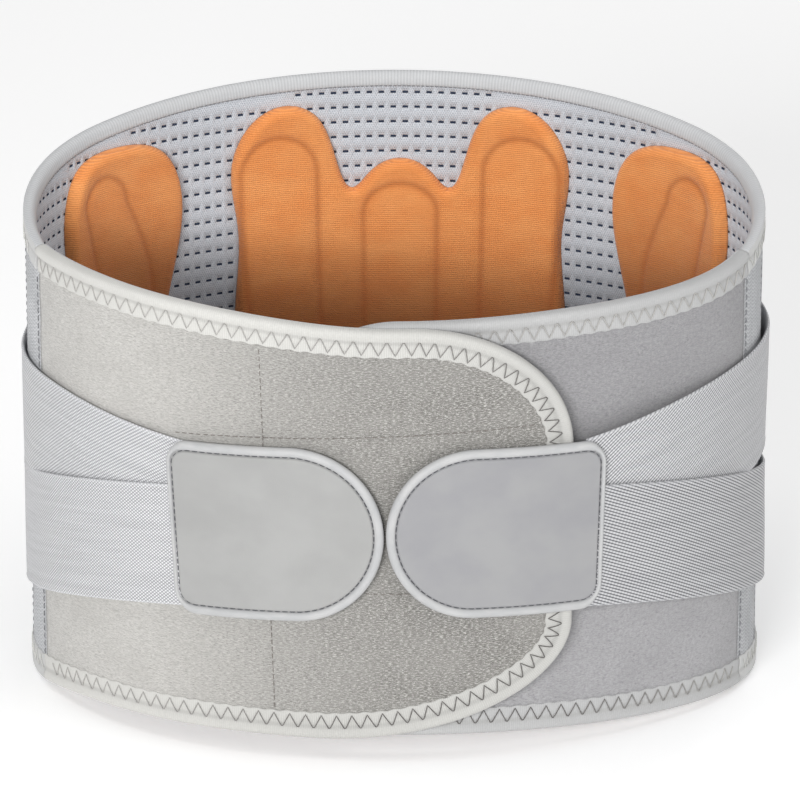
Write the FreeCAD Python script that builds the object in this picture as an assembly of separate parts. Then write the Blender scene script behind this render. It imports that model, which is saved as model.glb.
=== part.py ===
import FreeCAD, Part
import math
import os

from FreeCAD import Vector

# Lumbar support belt, closed and standing on its lower hem.
# Millimetres. +Z is up, the wearer's front faces -Y, +X is to the right of someone facing
# the closure. The origin is on the floor under the middle of the belt's box.

# ---- Driving dimensions -------------------------------------------------------------------

# Plan of the wall's inner face: an oval of four tangent arcs.
HALF_WIDTH = 142.1
HALF_DEPTH = 101.5
SIDE_RADIUS = 76.0

# Heights of the hems against depth, each a smooth curve through a few (depth, height)
# stations. A flap's curves carry on from the back's at its seam. The back's lower hem
# stands on the floor and lifts in front of LOW_LIFT_Y, by LOW_LIFT at LOW_LIFTED_Y.
BACK_TOP = (
    (-60, 178.5), (-32, 185.0), (0, 192.3), (26, 198.8), (50, 204.4), (75, 209.8), (92, 213.0),
    (103, 214.8), (140, 221)
)
OUTER_TOP = (
    (-140, 163.5), (-111, 176.2), (-107, 178.2), (-101, 180.2), (-93, 181.9), (-80, 183.4), (-66, 184.4),
    (-50, 185.0), (-31, 185.3), (-10, 185.9)
)
INNER_TOP = (
    (-140, 172.0), (-103, 178.2), (-94, 179.0), (-80, 179.4), (-66, 180.0), (-50, 181.8),
    (-34.5, 184.4), (-10, 190.0)
)
OUTER_LOW = ((-140, 8.8), (-104, 8.2), (-80, 6.9), (-57, 5.0), (-42, 2.9), (-31, 1.2), (-10, -2.0))
INNER_LOW = ((-140, 12.5), (-100, 7.7), (-85, 5.6), (-65, 3.5), (-50, 2.4), (-34.5, 1.5), (-10, 0.2))
LOW_LIFT_Y = -5.0
LOW_LIFTED_Y = -35.0
LOW_LIFT = 1.6

# The wall, from the lining outwards.
LINING = 1.2
CORE = 1.2
FACE = 1.2
WALL = LINING + CORE + FACE

# The elastic binding folded over every hem.
BINDING_SKIN = 0.7
BINDING_CAP = 1.5
BINDING_BAND = 11.0
BINDING_INSIDE_BAND = 5.5

# Where the two front flaps join the back, as angles round the side arcs.
LEFT_SEAM = 24.0
RIGHT_SEAM = 27.0
SEAM_GAP = 0.6
GUSSET_ANGLE = 18.0

# The front flaps. The outer flap lies over the inner one, lifted clear of its binding.
# Each corner of a free end is a quarter ellipse with these half axes, across and up.
FLAP_LIFT = 5.8
OUTER_FLAP_END = 68.5
OUTER_CORNERS = {"top": (62.0, 51.0), "low": (100.0, 46.0)}
INNER_FLAP_END = -44.0
INNER_CORNERS = {"top": (46.0, 45.0), "low": (42.0, 40.0)}
HOOK_PATCH_THICKNESS = 1.1
HOOK_PATCH_X = (-28.0, 55.0)
HOOK_PATCH_Z = (70.0, 138.0)
HOOK_PATCH_CORNER = 12.0

# Elastic straps, 50 mm wide, two on each side. The lower one lies over the upper one.
STRAP_WIDTH = 50.0
STRAP_THICKNESS = 1.3
STRAP_GAP = 0.3
UPPER_STRAP_OFFSET = WALL + BINDING_SKIN + STRAP_GAP
LOWER_STRAP_OFFSET = UPPER_STRAP_OFFSET + STRAP_THICKNESS + STRAP_GAP
UPPER_STRAP_LINE = {
    "left": ((-110, 97.5), (-80, 103.7), (-50, 108.0), (0, 110.0), (50, 115.0), (115, 120.0)),
    "right": ((-110, 96.5), (-80, 108.5), (-50, 114.3), (0, 118.5), (50, 122.5), (115, 125.0)),
}
LOWER_STRAP_LINE = ((-110, 89.5), (-80, 80.8), (-50, 72.0), (0, 59.5), (50, 54.5), (115, 52.5))
STRAP_REAR_END = 66.0
ANCHOR_WIDTH = 20.0

# Pull tabs: a straight side towards the strap and a round nose towards the middle.
TAB_LENGTH = {"left": 82.5, "right": 84.0}
TAB_HEIGHT = {"left": 71.0, "right": 69.0}
TAB_CORNER = 9.0
TAB_NOSE_GAP = 0.8
TAB_MEETING_X = -3.5
TAB_TILT = {"left": 3.0, "right": 1.6}
TAB_MIDDLE = {"left": 91.5, "right": 93.5}
TAB_TO_STRAP_GAP = 0.8
PIPING = 3.8
HOOK_LAYER = 1.0
BOARD_LAYER = 1.8
TAB_FACE_LAYER = 1.0
PIPING_PROUD = 0.8

# Stays on the outside of the back, each in its own sewn channel.
STAY_PLACES = (-52.0, -18.0, 18.0, 52.0)
STAY_WIDTH = 11.0
CHANNEL_WIDTH = 17.0
CHANNEL_WALL = 0.4
POCKET_DEPTH = 1.2
CHANNEL_DEPTH = POCKET_DEPTH + 2 * CHANNEL_WALL
STAY_CLEARANCE = 0.1

# Pads on the lining.
PAD_THICKNESS = 6.0
PAD_COVER = 1.2
PAD_INSERT_INSET = 7.0
PAD_PLACES = {"centre_pad": 2.4, "left_pad": -108.8, "right_pad": 110.9}

# Extents that pass every face of the belt.
FAR = 300.0
TALL = 400.0


# ---- Plan geometry ------------------------------------------------------------------------

SIDE_CENTRE = HALF_WIDTH - SIDE_RADIUS
LONG_RADIUS = (SIDE_CENTRE ** 2 + HALF_DEPTH ** 2 - SIDE_RADIUS ** 2) / (2 * (HALF_DEPTH - SIDE_RADIUS))
LONG_CENTRE = LONG_RADIUS - HALF_DEPTH
TANGENT_ANGLE = math.degrees(math.atan2(LONG_CENTRE, SIDE_CENTRE))


def polar(centre, radius, angle):
    """Point on a circle in plan."""
    turn = math.radians(angle)
    return Vector(centre[0] + radius * math.cos(turn), centre[1] + radius * math.sin(turn), 0)


def arc_edge(centre, radius, start, end):
    """Circular edge in plan from one angle to another."""
    middle = (start + end) / 2
    corners = [polar(centre, radius, angle) for angle in (start, middle, end)]
    return Part.Arc(*corners).toShape()


def strip(track, inner, outer):
    """Flat ribbon between two offsets of a track, a track being a chain of tangent arcs."""
    outside = [arc_edge(centre, radius + outer, start, end) for centre, radius, start, end in track]
    inside = [arc_edge(centre, radius + inner, end, start) for centre, radius, start, end in reversed(track)]
    end_line = Part.makeLine(outside[-1].Vertexes[-1].Point, inside[0].Vertexes[0].Point)
    start_line = Part.makeLine(inside[-1].Vertexes[-1].Point, outside[0].Vertexes[0].Point)
    return Part.Face(Part.Wire(outside + [end_line] + inside + [start_line]))


def wall(track, inner, outer):
    """Upright wall over a ribbon, taller than the belt at both ends."""
    ribbon = strip(track, inner, outer)
    ribbon.translate(Vector(0, 0, -TALL / 4))
    return ribbon.extrude(Vector(0, 0, TALL))


def mirrored(track):
    """The same track on the other side of the belt."""
    return [((-centre[0], centre[1]), radius, 180 - start, 180 - end) for centre, radius, start, end in track]


def back_track():
    """Back half of the oval, from the right seam round the back to the left seam."""
    right = (SIDE_CENTRE, 0)
    left = (-SIDE_CENTRE, 0)
    rear = (0, -LONG_CENTRE)
    return [
        (right, SIDE_RADIUS, -RIGHT_SEAM, TANGENT_ANGLE),
        (rear, LONG_RADIUS, TANGENT_ANGLE, 180 - TANGENT_ANGLE),
        (left, SIDE_RADIUS, 180 - TANGENT_ANGLE, 180 + LEFT_SEAM),
    ]


def rear_tangent_track(side_name, end_x):
    """Rear part of one side, from its seam to a station across the back (right-hand form)."""
    seam = RIGHT_SEAM if side_name == "right" else LEFT_SEAM
    rear = (0, -LONG_CENTRE)
    end_angle = math.degrees(math.acos(end_x / (LONG_RADIUS + WALL)))
    track = [
        ((SIDE_CENTRE, 0), SIDE_RADIUS, -seam, TANGENT_ANGLE),
        (rear, LONG_RADIUS, TANGENT_ANGLE, end_angle),
    ]
    return track if side_name == "right" else mirrored(track)


def gusset_track(side_name):
    """The side gusset, just behind the seam."""
    seam = RIGHT_SEAM if side_name == "right" else LEFT_SEAM
    track = [((SIDE_CENTRE, 0), SIDE_RADIUS, -seam, GUSSET_ANGLE - seam)]
    return track if side_name == "right" else mirrored(track)


def seam_gap_angle():
    """Angle that leaves the seam gap open at the wall."""
    return math.degrees(SEAM_GAP / SIDE_RADIUS)


def low_front_track(end_x):
    """Right side to the front on the base oval, ending at a station across the front."""
    front = (0, LONG_CENTRE)
    end_angle = -math.degrees(math.acos(end_x / (LONG_RADIUS + WALL)))
    return [
        ((SIDE_CENTRE, 0), SIDE_RADIUS, -RIGHT_SEAM - seam_gap_angle(), -TANGENT_ANGLE),
        (front, LONG_RADIUS, -TANGENT_ANGLE, end_angle),
    ]


def lifted_front_track(side_name, end_x):
    """Side to front, easing out to FLAP_LIFT outside the base oval.

    The easing arc is tangent to the side arc and to the lifted front arc. Its centre is
    where an ellipse with foci on those two arcs' centres crosses its own short axis.
    """
    seam = RIGHT_SEAM if side_name == "right" else LEFT_SEAM
    side = Vector(SIDE_CENTRE, 0, 0)
    front = Vector(0, LONG_CENTRE, 0)
    span = side - front
    half_major = (span.Length + FLAP_LIFT) / 2
    half_minor = math.sqrt(half_major ** 2 - (span.Length / 2) ** 2)
    across = Vector(span.y, -span.x, 0).normalize()
    easing = (side + front) / 2 + across * half_minor
    leave = side - easing
    arrive = easing - front
    leave_angle = math.degrees(math.atan2(leave.y, leave.x))
    arrive_angle = math.degrees(math.atan2(arrive.y, arrive.x))
    front_radius = LONG_RADIUS + FLAP_LIFT
    along = end_x if side_name == "right" else -end_x
    end_angle = -math.degrees(math.acos(along / (front_radius + WALL)))
    track = [
        ((side.x, side.y), SIDE_RADIUS, -seam - seam_gap_angle(), leave_angle),
        ((easing.x, easing.y), SIDE_RADIUS + half_major, leave_angle, arrive_angle),
        ((front.x, front.y), front_radius, arrive_angle, end_angle),
    ]
    return track if side_name == "right" else mirrored(track)


# ---- Outlines in elevation ----------------------------------------------------------------

def smooth_curve(points, shift=0.0):
    """Smooth curve through (depth, height) stations, seen from the side and shifted up."""
    curve = Part.BSplineCurve()
    curve.interpolate([Vector(-FAR, y, height + shift) for y, height in points])
    return curve


def height_at(points, y):
    """Height of a smooth curve at a depth."""
    curve = smooth_curve(points)
    low = curve.FirstParameter
    high = curve.LastParameter
    for _ in range(40):
        middle = (low + high) / 2
        if curve.value(middle).y < y:
            low = middle
        else:
            high = middle
    return curve.value(low).z


def back_low_edges(inset):
    """Lower hem of the back: a line on the floor and an arc that lifts off it."""
    run = LOW_LIFT_Y - LOW_LIFTED_Y
    radius = (run ** 2 + LOW_LIFT ** 2) / (2 * LOW_LIFT)
    front = BACK_TOP[0][0]
    rear = BACK_TOP[-1][0]

    def at(y):
        rise = radius - math.sqrt(radius ** 2 - (y - LOW_LIFT_Y) ** 2)
        return Vector(-FAR, y, inset + rise)

    lift = Part.Arc(at(LOW_LIFT_Y), at((LOW_LIFT_Y + front) / 2), at(front)).toShape()
    return [Part.makeLine(Vector(-FAR, rear, inset), at(LOW_LIFT_Y)), lift]


def hem_profile(part, inset):
    """Everything between a part's two hems, seen from the side and drawn in by an inset."""
    if part == "back":
        top = smooth_curve(BACK_TOP, -inset).toShape()
        low = back_low_edges(inset)
    else:
        top = smooth_curve(OUTER_TOP if part == "outer" else INNER_TOP, -inset).toShape()
        low = [smooth_curve(OUTER_LOW if part == "outer" else INNER_LOW, inset).toShape()]
    corners = sorted((vertex.Point for edge in low for vertex in edge.Vertexes), key=lambda point: point.y)
    ends = sorted((vertex.Point for vertex in top.Vertexes), key=lambda point: point.y)
    closing = [Part.makeLine(ends[0], corners[0]), Part.makeLine(ends[1], corners[-1])]
    face = Part.Face(Part.Wire(Part.__sortEdges__([top] + low + closing)))
    return face.extrude(Vector(2 * FAR, 0, 0))


def front_y(x, lift):
    """Depth of the front arc, lifted or not, at a station across the front."""
    radius = LONG_RADIUS + lift + WALL / 2
    return LONG_CENTRE - math.sqrt(radius ** 2 - x ** 2)


def flap_end(part, inset):
    """Round end of a flap, seen from the front: all of the flap up to its two elliptical corners."""
    if part == "outer":
        end_x, corners, lift = OUTER_FLAP_END, OUTER_CORNERS, FLAP_LIFT
        top_points, low_points = OUTER_TOP, OUTER_LOW
    else:
        end_x, corners, lift = INNER_FLAP_END, INNER_CORNERS, 0.0
        top_points, low_points = INNER_TOP, INNER_LOW
    way = 1 if end_x > 0 else -1
    top_across, top_up = corners["top"]
    low_across, low_up = corners["low"]
    top_start = abs(end_x) - top_across
    low_start = abs(end_x) - low_across
    top = height_at(top_points, front_y(top_start, lift))
    low = height_at(low_points, front_y(low_start, lift))

    def at(x, height):
        return Vector(way * x, -FAR, height)

    def corner(start, middle_height, across, up):
        """Quarter ellipse; a negative rise gives a lower corner."""
        side = at(start + across, middle_height)
        peak = at(start, middle_height + up)
        return Part.Ellipse(side, peak, at(start, middle_height)).toShape(0, math.pi / 2)

    top_middle = top - top_up
    low_middle = low + low_up
    end = abs(end_x) - inset
    outline = [
        Part.makeLine(at(-FAR, TALL), at(top_start, TALL)),
        Part.makeLine(at(top_start, TALL), at(top_start, top - inset)),
        corner(top_start, top_middle, top_across - inset, top_up - inset),
        Part.makeLine(at(end, top_middle), at(end, low_middle)),
        corner(low_start, low_middle, low_across - inset, inset - low_up),
        Part.makeLine(at(low_start, low + inset), at(low_start, -TALL)),
        Part.makeLine(at(low_start, -TALL), at(-FAR, -TALL)),
        Part.makeLine(at(-FAR, -TALL), at(-FAR, TALL)),
    ]
    return Part.Face(Part.Wire(Part.__sortEdges__(outline))).extrude(Vector(0, FAR, 0))


def rounded_rectangle(x_range, z_range, corner):
    """Rounded rectangle seen from the front, passing right through the front half."""
    block = Part.makeBox(
        x_range[1] - x_range[0], FAR, z_range[1] - z_range[0], Vector(x_range[0], -FAR, z_range[0])
    )
    uprights = [edge for edge in block.Edges if abs(edge.tangentAt(edge.FirstParameter).y) > 0.9]
    return block.makeFillet(corner, uprights)


def panel(track, inner, outer, inset, part="back"):
    """Wall between a part's hems."""
    return wall(track, inner, outer).common(hem_profile(part, inset))


def one_solid(shape):
    """The single solid of a shape."""
    solids = shape.Solids
    if len(solids) != 1:
        raise ValueError("expected one solid, got %d" % len(solids))
    return solids[0]


# ---- Back ---------------------------------------------------------------------------------

def hem_strips(height):
    """Lower and upper strip of the elevation, each a height measured in from its hem."""
    strips = hem_profile("back", 0).cut(hem_profile("back", height)).Solids
    return sorted(strips, key=lambda solid: solid.CenterOfMass.z)


def back_bindings():
    """Lower and upper binding of the back, each folded over the hem and shorter on the inside."""
    track = back_track()
    folds = (
        (WALL, WALL + BINDING_SKIN, BINDING_BAND),
        (0, WALL, BINDING_CAP),
        (-BINDING_SKIN, 0, BINDING_INSIDE_BAND),
    )
    nodes = {}
    for index, name in enumerate(("bottom", "top")):
        parts = [wall(track, inner, outer).common(hem_strips(height)[index]) for inner, outer, height in folds]
        nodes["back_binding_" + name] = one_solid(parts[0].fuse(parts[1:]).removeSplitter())
    return nodes


def back_wall():
    """Mesh lining, thin foam, outer shell and the two elastic side gussets."""
    track = back_track()
    skins = {
        "back_lining": panel(track, 0, LINING, BINDING_CAP),
        "back_core": panel(track, LINING, LINING + CORE, BINDING_CAP),
        "back_shell": panel(track, LINING + CORE, WALL, BINDING_CAP),
    }
    gussets = {}
    for side_name in ("left", "right"):
        place = gusset_track(side_name)
        gussets[side_name + "_gusset"] = one_solid(panel(place, LINING, WALL, BINDING_CAP))
    for name in ("back_core", "back_shell"):
        for gusset in gussets.values():
            skins[name] = skins[name].cut(gusset)
    nodes = {name: one_solid(shape) for name, shape in skins.items()}
    nodes.update(gussets)
    return nodes


def column(middle_x, width):
    """Upright block through the back at a station."""
    return Part.makeBox(width, FAR, TALL, Vector(middle_x - width / 2, 0, 0))


def stays():
    """Steel stays in flat fabric channels on the outside of the back."""
    track = back_track()
    channel_inset = BINDING_BAND + 3
    pocket_inset = channel_inset + 4
    nodes = {}
    for number, middle_x in enumerate(STAY_PLACES, 1):
        pocket_inner = WALL + CHANNEL_WALL
        pocket_outer = pocket_inner + POCKET_DEPTH
        channel = panel(track, WALL, WALL + CHANNEL_DEPTH, channel_inset).common(column(middle_x, CHANNEL_WIDTH))
        pocket = panel(track, pocket_inner, pocket_outer, pocket_inset)
        pocket_width = STAY_WIDTH + 2 * STAY_CLEARANCE
        channel = channel.cut(pocket.common(column(middle_x, pocket_width)))
        stay = panel(
            track, pocket_inner + STAY_CLEARANCE, pocket_outer - STAY_CLEARANCE, pocket_inset + STAY_CLEARANCE
        )
        nodes["stay_channel_%d" % number] = one_solid(channel)
        nodes["stay_%d" % number] = one_solid(stay.common(column(middle_x, STAY_WIDTH)))
    return nodes


# ---- Pads ---------------------------------------------------------------------------------

def prism(edges, place, bearing):
    """Prism over an outline drawn across and up, standing at a place and facing a bearing."""
    face = Part.Face(Part.Wire(edges))
    solid = face.extrude(Vector(0, 60, 0))
    solid.rotate(Vector(0, 0, 0), Vector(0, 0, 1), bearing - 90)
    solid.translate(place)
    return solid


def smooth_outline(points):
    """Closed smooth curve through a few points (across, up)."""
    curve = Part.BSplineCurve()
    curve.interpolate([Vector(across, -30, up) for across, up in points], True)
    return [curve.toShape()]


def centre_pad_points(inset):
    """Outline of the three-lobed centre pad, symmetrical about its middle."""
    half = [
        (0, 178.5 - inset),
        (12.5 - inset * 0.6, 173 - inset * 0.8),
        (20 + inset * 0.2, 166 - inset * 1.5),
        (26.5 + inset, 180 - inset * 0.6),
        (35 + inset * 0.4, 198 - inset),
        (47, 202.5 - inset),
        (60 - inset * 0.7, 197 - inset * 0.7),
        (69.5 - inset, 178),
        (67 - inset, 150),
        (68.5 - inset, 118),
        (66.5 - inset, 80),
        (56 - inset, 46 + inset * 0.5),
        (34 - inset * 0.4, 29 + inset),
    ]
    left = [(-across, up) for across, up in reversed(half[1:])]
    return half + [(0, 25 + inset)] + left


def side_pad_points(inset):
    """Outline of a side pad: a petal, broad at the top and narrow at the foot."""
    return [
        (0, 196 - inset),
        (21 - inset * 0.7, 190 - inset * 0.7),
        (31 - inset, 168),
        (25.5 - inset, 135),
        (17.5 - inset, 102),
        (9.5 - inset * 0.7, 84 + inset * 0.7),
        (0, 79.5 + inset),
        (-9.5 + inset * 0.7, 84 + inset * 0.7),
        (-17.5 + inset, 102),
        (-25.5 + inset, 135),
        (-31 + inset, 168),
        (-21 + inset * 0.7, 190 - inset * 0.7),
    ]


def pads():
    """Centre pad and two side pads, each a knitted cover round a firm insert."""
    track = back_track()
    slab = wall(track, -PAD_THICKNESS, 0)
    pocket = wall(track, PAD_COVER - PAD_THICKNESS, -PAD_COVER)
    nodes = {}
    for name, middle_x in PAD_PLACES.items():
        points = centre_pad_points if name == "centre_pad" else side_pad_points
        bearing = math.degrees(math.acos(middle_x / (LONG_RADIUS - PAD_THICKNESS)))
        place = polar((0, -LONG_CENTRE), LONG_RADIUS - PAD_THICKNESS, bearing)
        cover = slab.common(prism(smooth_outline(points(0)), place, bearing))
        core = pocket.common(prism(smooth_outline(points(PAD_INSERT_INSET)), place, bearing))
        nodes[name] = one_solid(cover.cut(core))
        nodes[name + "_insert"] = one_solid(core)
    return nodes


# ---- Flaps --------------------------------------------------------------------------------

def flap(part, track):
    """One front flap: lining, foam, brushed face and the binding round three of its edges."""

    def layer(inner, outer, inset):
        return panel(track, inner, outer, inset, part).common(flap_end(part, inset))

    rim = layer(-BINDING_SKIN, WALL + BINDING_SKIN, 0)
    rim = rim.cut(layer(-5, WALL + 5, BINDING_BAND)).cut(layer(0, WALL, BINDING_CAP))
    nodes = {
        "lining": layer(0, LINING, BINDING_CAP),
        "core": layer(LINING, LINING + CORE, BINDING_CAP),
        "face": layer(LINING + CORE, WALL, BINDING_CAP),
        "binding": rim,
    }
    return {"%s_flap_%s" % (part, name): one_solid(shape) for name, shape in nodes.items()}


def flaps():
    """Both front flaps and the hook patch under the outer one."""
    outer_track = lifted_front_track("left", OUTER_FLAP_END + 10)
    inner_track = low_front_track(INNER_FLAP_END - 10)
    nodes = flap("outer", outer_track)
    nodes.update(flap("inner", inner_track))
    patch = wall(outer_track, -HOOK_PATCH_THICKNESS, 0)
    patch = patch.common(rounded_rectangle(HOOK_PATCH_X, HOOK_PATCH_Z, HOOK_PATCH_CORNER))
    nodes["outer_flap_hook_patch"] = one_solid(patch)
    return nodes


# ---- Straps -------------------------------------------------------------------------------

def strap_band(line, margin=0.0):
    """Band of the strap's width about its centre line, seen from the side."""
    top = smooth_curve(line, STRAP_WIDTH / 2 + margin).toShape()
    low = smooth_curve(line, -STRAP_WIDTH / 2 - margin).toShape()
    ends = [
        Part.makeLine(top.Vertexes[index].Point, low.Vertexes[index].Point) for index in (0, 1)
    ]
    outline = Part.Wire(Part.__sortEdges__([top, ends[1], low, ends[0]]))
    return Part.Face(outline).extrude(Vector(2 * FAR, 0, 0))


def tab_side_x(side_name):
    """Station of a tab's straight side."""
    way = 1 if side_name == "right" else -1
    return TAB_MEETING_X + way * (TAB_NOSE_GAP / 2 + TAB_LENGTH[side_name] * math.cos(math.radians(TAB_TILT[side_name])))


def strap_cut(side_name):
    """Half space outboard of a tab's straight side, which leans with the tab."""
    way = 1 if side_name == "right" else -1
    middle = TAB_MIDDLE[side_name]
    edge_x = tab_side_x(side_name) + way * TAB_TO_STRAP_GAP
    block = Part.makeBox(FAR, 2 * FAR, TALL, Vector(edge_x if way > 0 else edge_x - FAR, -FAR, middle - TALL / 2))
    block.rotate(Vector(edge_x, 0, middle), Vector(0, 1, 0), way * TAB_TILT[side_name])
    return block


def straps():
    """Four elastic straps, each a front run to its tab and a rear run sewn to the back."""
    below_upper = strap_band(LOWER_STRAP_LINE, STRAP_GAP)
    nodes = {}
    for side_name in ("left", "right"):
        front_track = lifted_front_track(side_name, 0)
        rear_track = rear_tangent_track(side_name, STRAP_REAR_END)
        layers = {
            "upper": (UPPER_STRAP_OFFSET, UPPER_STRAP_LINE[side_name]),
            "lower": (LOWER_STRAP_OFFSET, LOWER_STRAP_LINE),
        }
        for layer_name, (offset, line) in layers.items():
            band = strap_band(line)
            run = wall(front_track, offset, offset + STRAP_THICKNESS)
            run = run.common(band).common(strap_cut(side_name))
            rear = wall(rear_track, UPPER_STRAP_OFFSET, UPPER_STRAP_OFFSET + STRAP_THICKNESS).common(band)
            if layer_name == "upper":
                rear = rear.cut(below_upper)
            nodes["%s_%s_strap" % (side_name, layer_name)] = one_solid(run)
            nodes["%s_%s_rear_strap" % (side_name, layer_name)] = one_solid(rear)
    return nodes


def anchors():
    """Tape under the rear ends of the straps, where they are sewn to the back."""
    nodes = {}
    low = LOWER_STRAP_LINE[-1][1] - STRAP_WIDTH / 2
    for side_name, way in (("left", -1), ("right", 1)):
        high = UPPER_STRAP_LINE[side_name][-1][1] + STRAP_WIDTH / 2
        middle_x = way * (STRAP_REAR_END + ANCHOR_WIDTH / 2)
        block = Part.makeBox(ANCHOR_WIDTH, FAR, high - low, Vector(middle_x - ANCHOR_WIDTH / 2, 0, low))
        tape = wall(back_track(), WALL, UPPER_STRAP_OFFSET).common(block)
        nodes[side_name + "_strap_anchor"] = one_solid(tape)
    return nodes


# ---- Pull tabs ----------------------------------------------------------------------------

def tab_outline(side_name, inset):
    """D-shaped prism of a tab, drawn in by an inset."""
    way = 1 if side_name == "right" else -1
    middle = TAB_MIDDLE[side_name]
    half = TAB_HEIGHT[side_name] / 2 - inset
    corner = TAB_CORNER - inset
    nose_start = TAB_LENGTH[side_name] - TAB_HEIGHT[side_name] / 2
    slant = math.sqrt(0.5)
    side_x = tab_side_x(side_name)

    def at(along, up):
        return Vector(side_x - way * along, -FAR, middle + up)

    def corner_arc(sign):
        centre = (inset + corner, half - corner)
        points = [(inset, centre[1]), (centre[0] - corner * slant, centre[1] + corner * slant), (centre[0], half)]
        return Part.Arc(*[at(along, sign * up) for along, up in points]).toShape()

    outline = [
        Part.makeLine(at(inset, corner - half), at(inset, half - corner)),
        corner_arc(1),
        Part.makeLine(at(inset + corner, half), at(nose_start, half)),
        Part.Arc(at(nose_start, half), at(nose_start + half, 0), at(nose_start, -half)).toShape(),
        Part.makeLine(at(nose_start, -half), at(inset + corner, -half)),
        corner_arc(-1),
    ]
    solid = Part.Face(Part.Wire(Part.__sortEdges__(outline))).extrude(Vector(0, FAR, 0))
    solid.rotate(Vector(side_x, 0, middle), Vector(0, 1, 0), way * TAB_TILT[side_name])
    return solid


def tabs():
    """Two pull tabs: hook backing, stiff board, smooth face and rolled piping."""
    hook_top = UPPER_STRAP_OFFSET + HOOK_LAYER
    board_top = hook_top + BOARD_LAYER
    face_top = board_top + TAB_FACE_LAYER
    nodes = {}
    for side_name in ("left", "right"):
        track = lifted_front_track(side_name, TAB_MEETING_X + (30 if side_name == "left" else -30))
        full = tab_outline(side_name, 0)
        inner = tab_outline(side_name, PIPING)
        ring = full.cut(inner)
        layers = {
            "hook": (UPPER_STRAP_OFFSET, hook_top, inner),
            "board": (hook_top, board_top, inner),
            "face": (board_top, face_top, inner),
            "piping": (UPPER_STRAP_OFFSET, face_top + PIPING_PROUD, ring),
        }
        for name, (low, high, outline) in layers.items():
            nodes["%s_tab_%s" % (side_name, name)] = one_solid(wall(track, low, high).common(outline))
    return nodes


# ---- Hand over ----------------------------------------------------------------------------

def station(track, offset, x):
    """Point on the front of a track's offset at a station across the belt."""
    for centre, radius, start, end in track:
        across = (x - centre[0]) / (radius + offset)
        if abs(across) <= 1:
            angle = math.degrees(-math.acos(across)) % 360
            low, high = sorted((start % 360, end % 360))
            if low <= angle <= high:
                return polar(centre, radius + offset, angle)
    raise ValueError("no arc of the track passes x = %.1f" % x)


def hinges():
    """Upright hinge lines in plan: one at each side seam and one at each tab's straight side."""
    outside = SIDE_RADIUS + LOWER_STRAP_OFFSET + STRAP_THICKNESS + 0.3
    tab_outside = UPPER_STRAP_OFFSET + HOOK_LAYER + BOARD_LAYER + TAB_FACE_LAYER + PIPING_PROUD + 0.3
    places = {}
    for side_name, way, seam in (("left", -1, LEFT_SEAM), ("right", 1, RIGHT_SEAM)):
        edge = polar((SIDE_CENTRE, 0), outside, -seam)
        places[side_name + "_seam"] = Vector(way * edge.x, edge.y, 0)
        lean = TAB_HEIGHT[side_name] / 2 * math.sin(math.radians(TAB_TILT[side_name]))
        tab_x = tab_side_x(side_name) + way * lean
        places[side_name + "_tab"] = station(lifted_front_track(side_name, 0), tab_outside, tab_x)
    return places


def main():
    os.makedirs("parts", exist_ok=True)
    nodes = {}
    for group in (back_wall, back_bindings, stays, pads, flaps, straps, anchors, tabs):
        nodes.update(group())
    whole = Part.makeCompound(list(nodes.values())).BoundBox
    to_origin = Vector(-whole.Center.x, -whole.Center.y, -whole.ZMin)
    print("moved by x %.3f y %.3f z %.3f" % (to_origin.x, to_origin.y, to_origin.z))
    for name, shape in nodes.items():
        if not shape.isValid():
            raise ValueError(name + " is not a valid solid")
        shape.translate(to_origin)
        shape.exportStep("parts/%s.step" % name)
        box = shape.BoundBox
        extent = "x %.1f..%.1f y %.1f..%.1f z %.1f..%.1f" % (
            box.XMin, box.XMax, box.YMin, box.YMax, box.ZMin, box.ZMax
        )
        print("%-26s %9.0f mm3  %s" % (name, shape.Volume, extent))
    for name, place in hinges().items():
        here = place + to_origin
        print("hinge %s x %.3f y %.3f" % (name, here.x, here.y))


main()
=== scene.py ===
import math

import bmesh
import bpy
import numpy as np
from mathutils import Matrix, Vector
from mathutils.geometry import delaunay_2d_cdt


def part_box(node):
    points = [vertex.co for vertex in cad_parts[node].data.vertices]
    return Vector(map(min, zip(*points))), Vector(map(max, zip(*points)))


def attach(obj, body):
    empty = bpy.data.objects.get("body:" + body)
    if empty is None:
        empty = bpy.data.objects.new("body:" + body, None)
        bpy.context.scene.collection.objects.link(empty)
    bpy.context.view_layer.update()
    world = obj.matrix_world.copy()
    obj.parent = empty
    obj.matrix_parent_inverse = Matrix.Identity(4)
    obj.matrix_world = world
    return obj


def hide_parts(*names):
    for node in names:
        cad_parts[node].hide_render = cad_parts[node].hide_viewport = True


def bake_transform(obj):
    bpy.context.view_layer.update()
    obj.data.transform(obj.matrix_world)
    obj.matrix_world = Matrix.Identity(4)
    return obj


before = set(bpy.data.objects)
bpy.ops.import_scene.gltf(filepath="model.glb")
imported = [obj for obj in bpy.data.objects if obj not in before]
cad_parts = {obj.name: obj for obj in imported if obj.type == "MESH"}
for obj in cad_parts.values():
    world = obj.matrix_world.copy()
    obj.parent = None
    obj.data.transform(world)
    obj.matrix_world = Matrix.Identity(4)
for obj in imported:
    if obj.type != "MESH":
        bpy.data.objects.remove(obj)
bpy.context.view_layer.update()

# Lengths are in millimetres and turned into metres when a mesh is made. "s" runs along the
# inner face of the wall in plan, "z" is height, and an offset is measured outwards from that face.

# ---- Sizes shared with the CAD model ------------------------------------------------------

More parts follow.
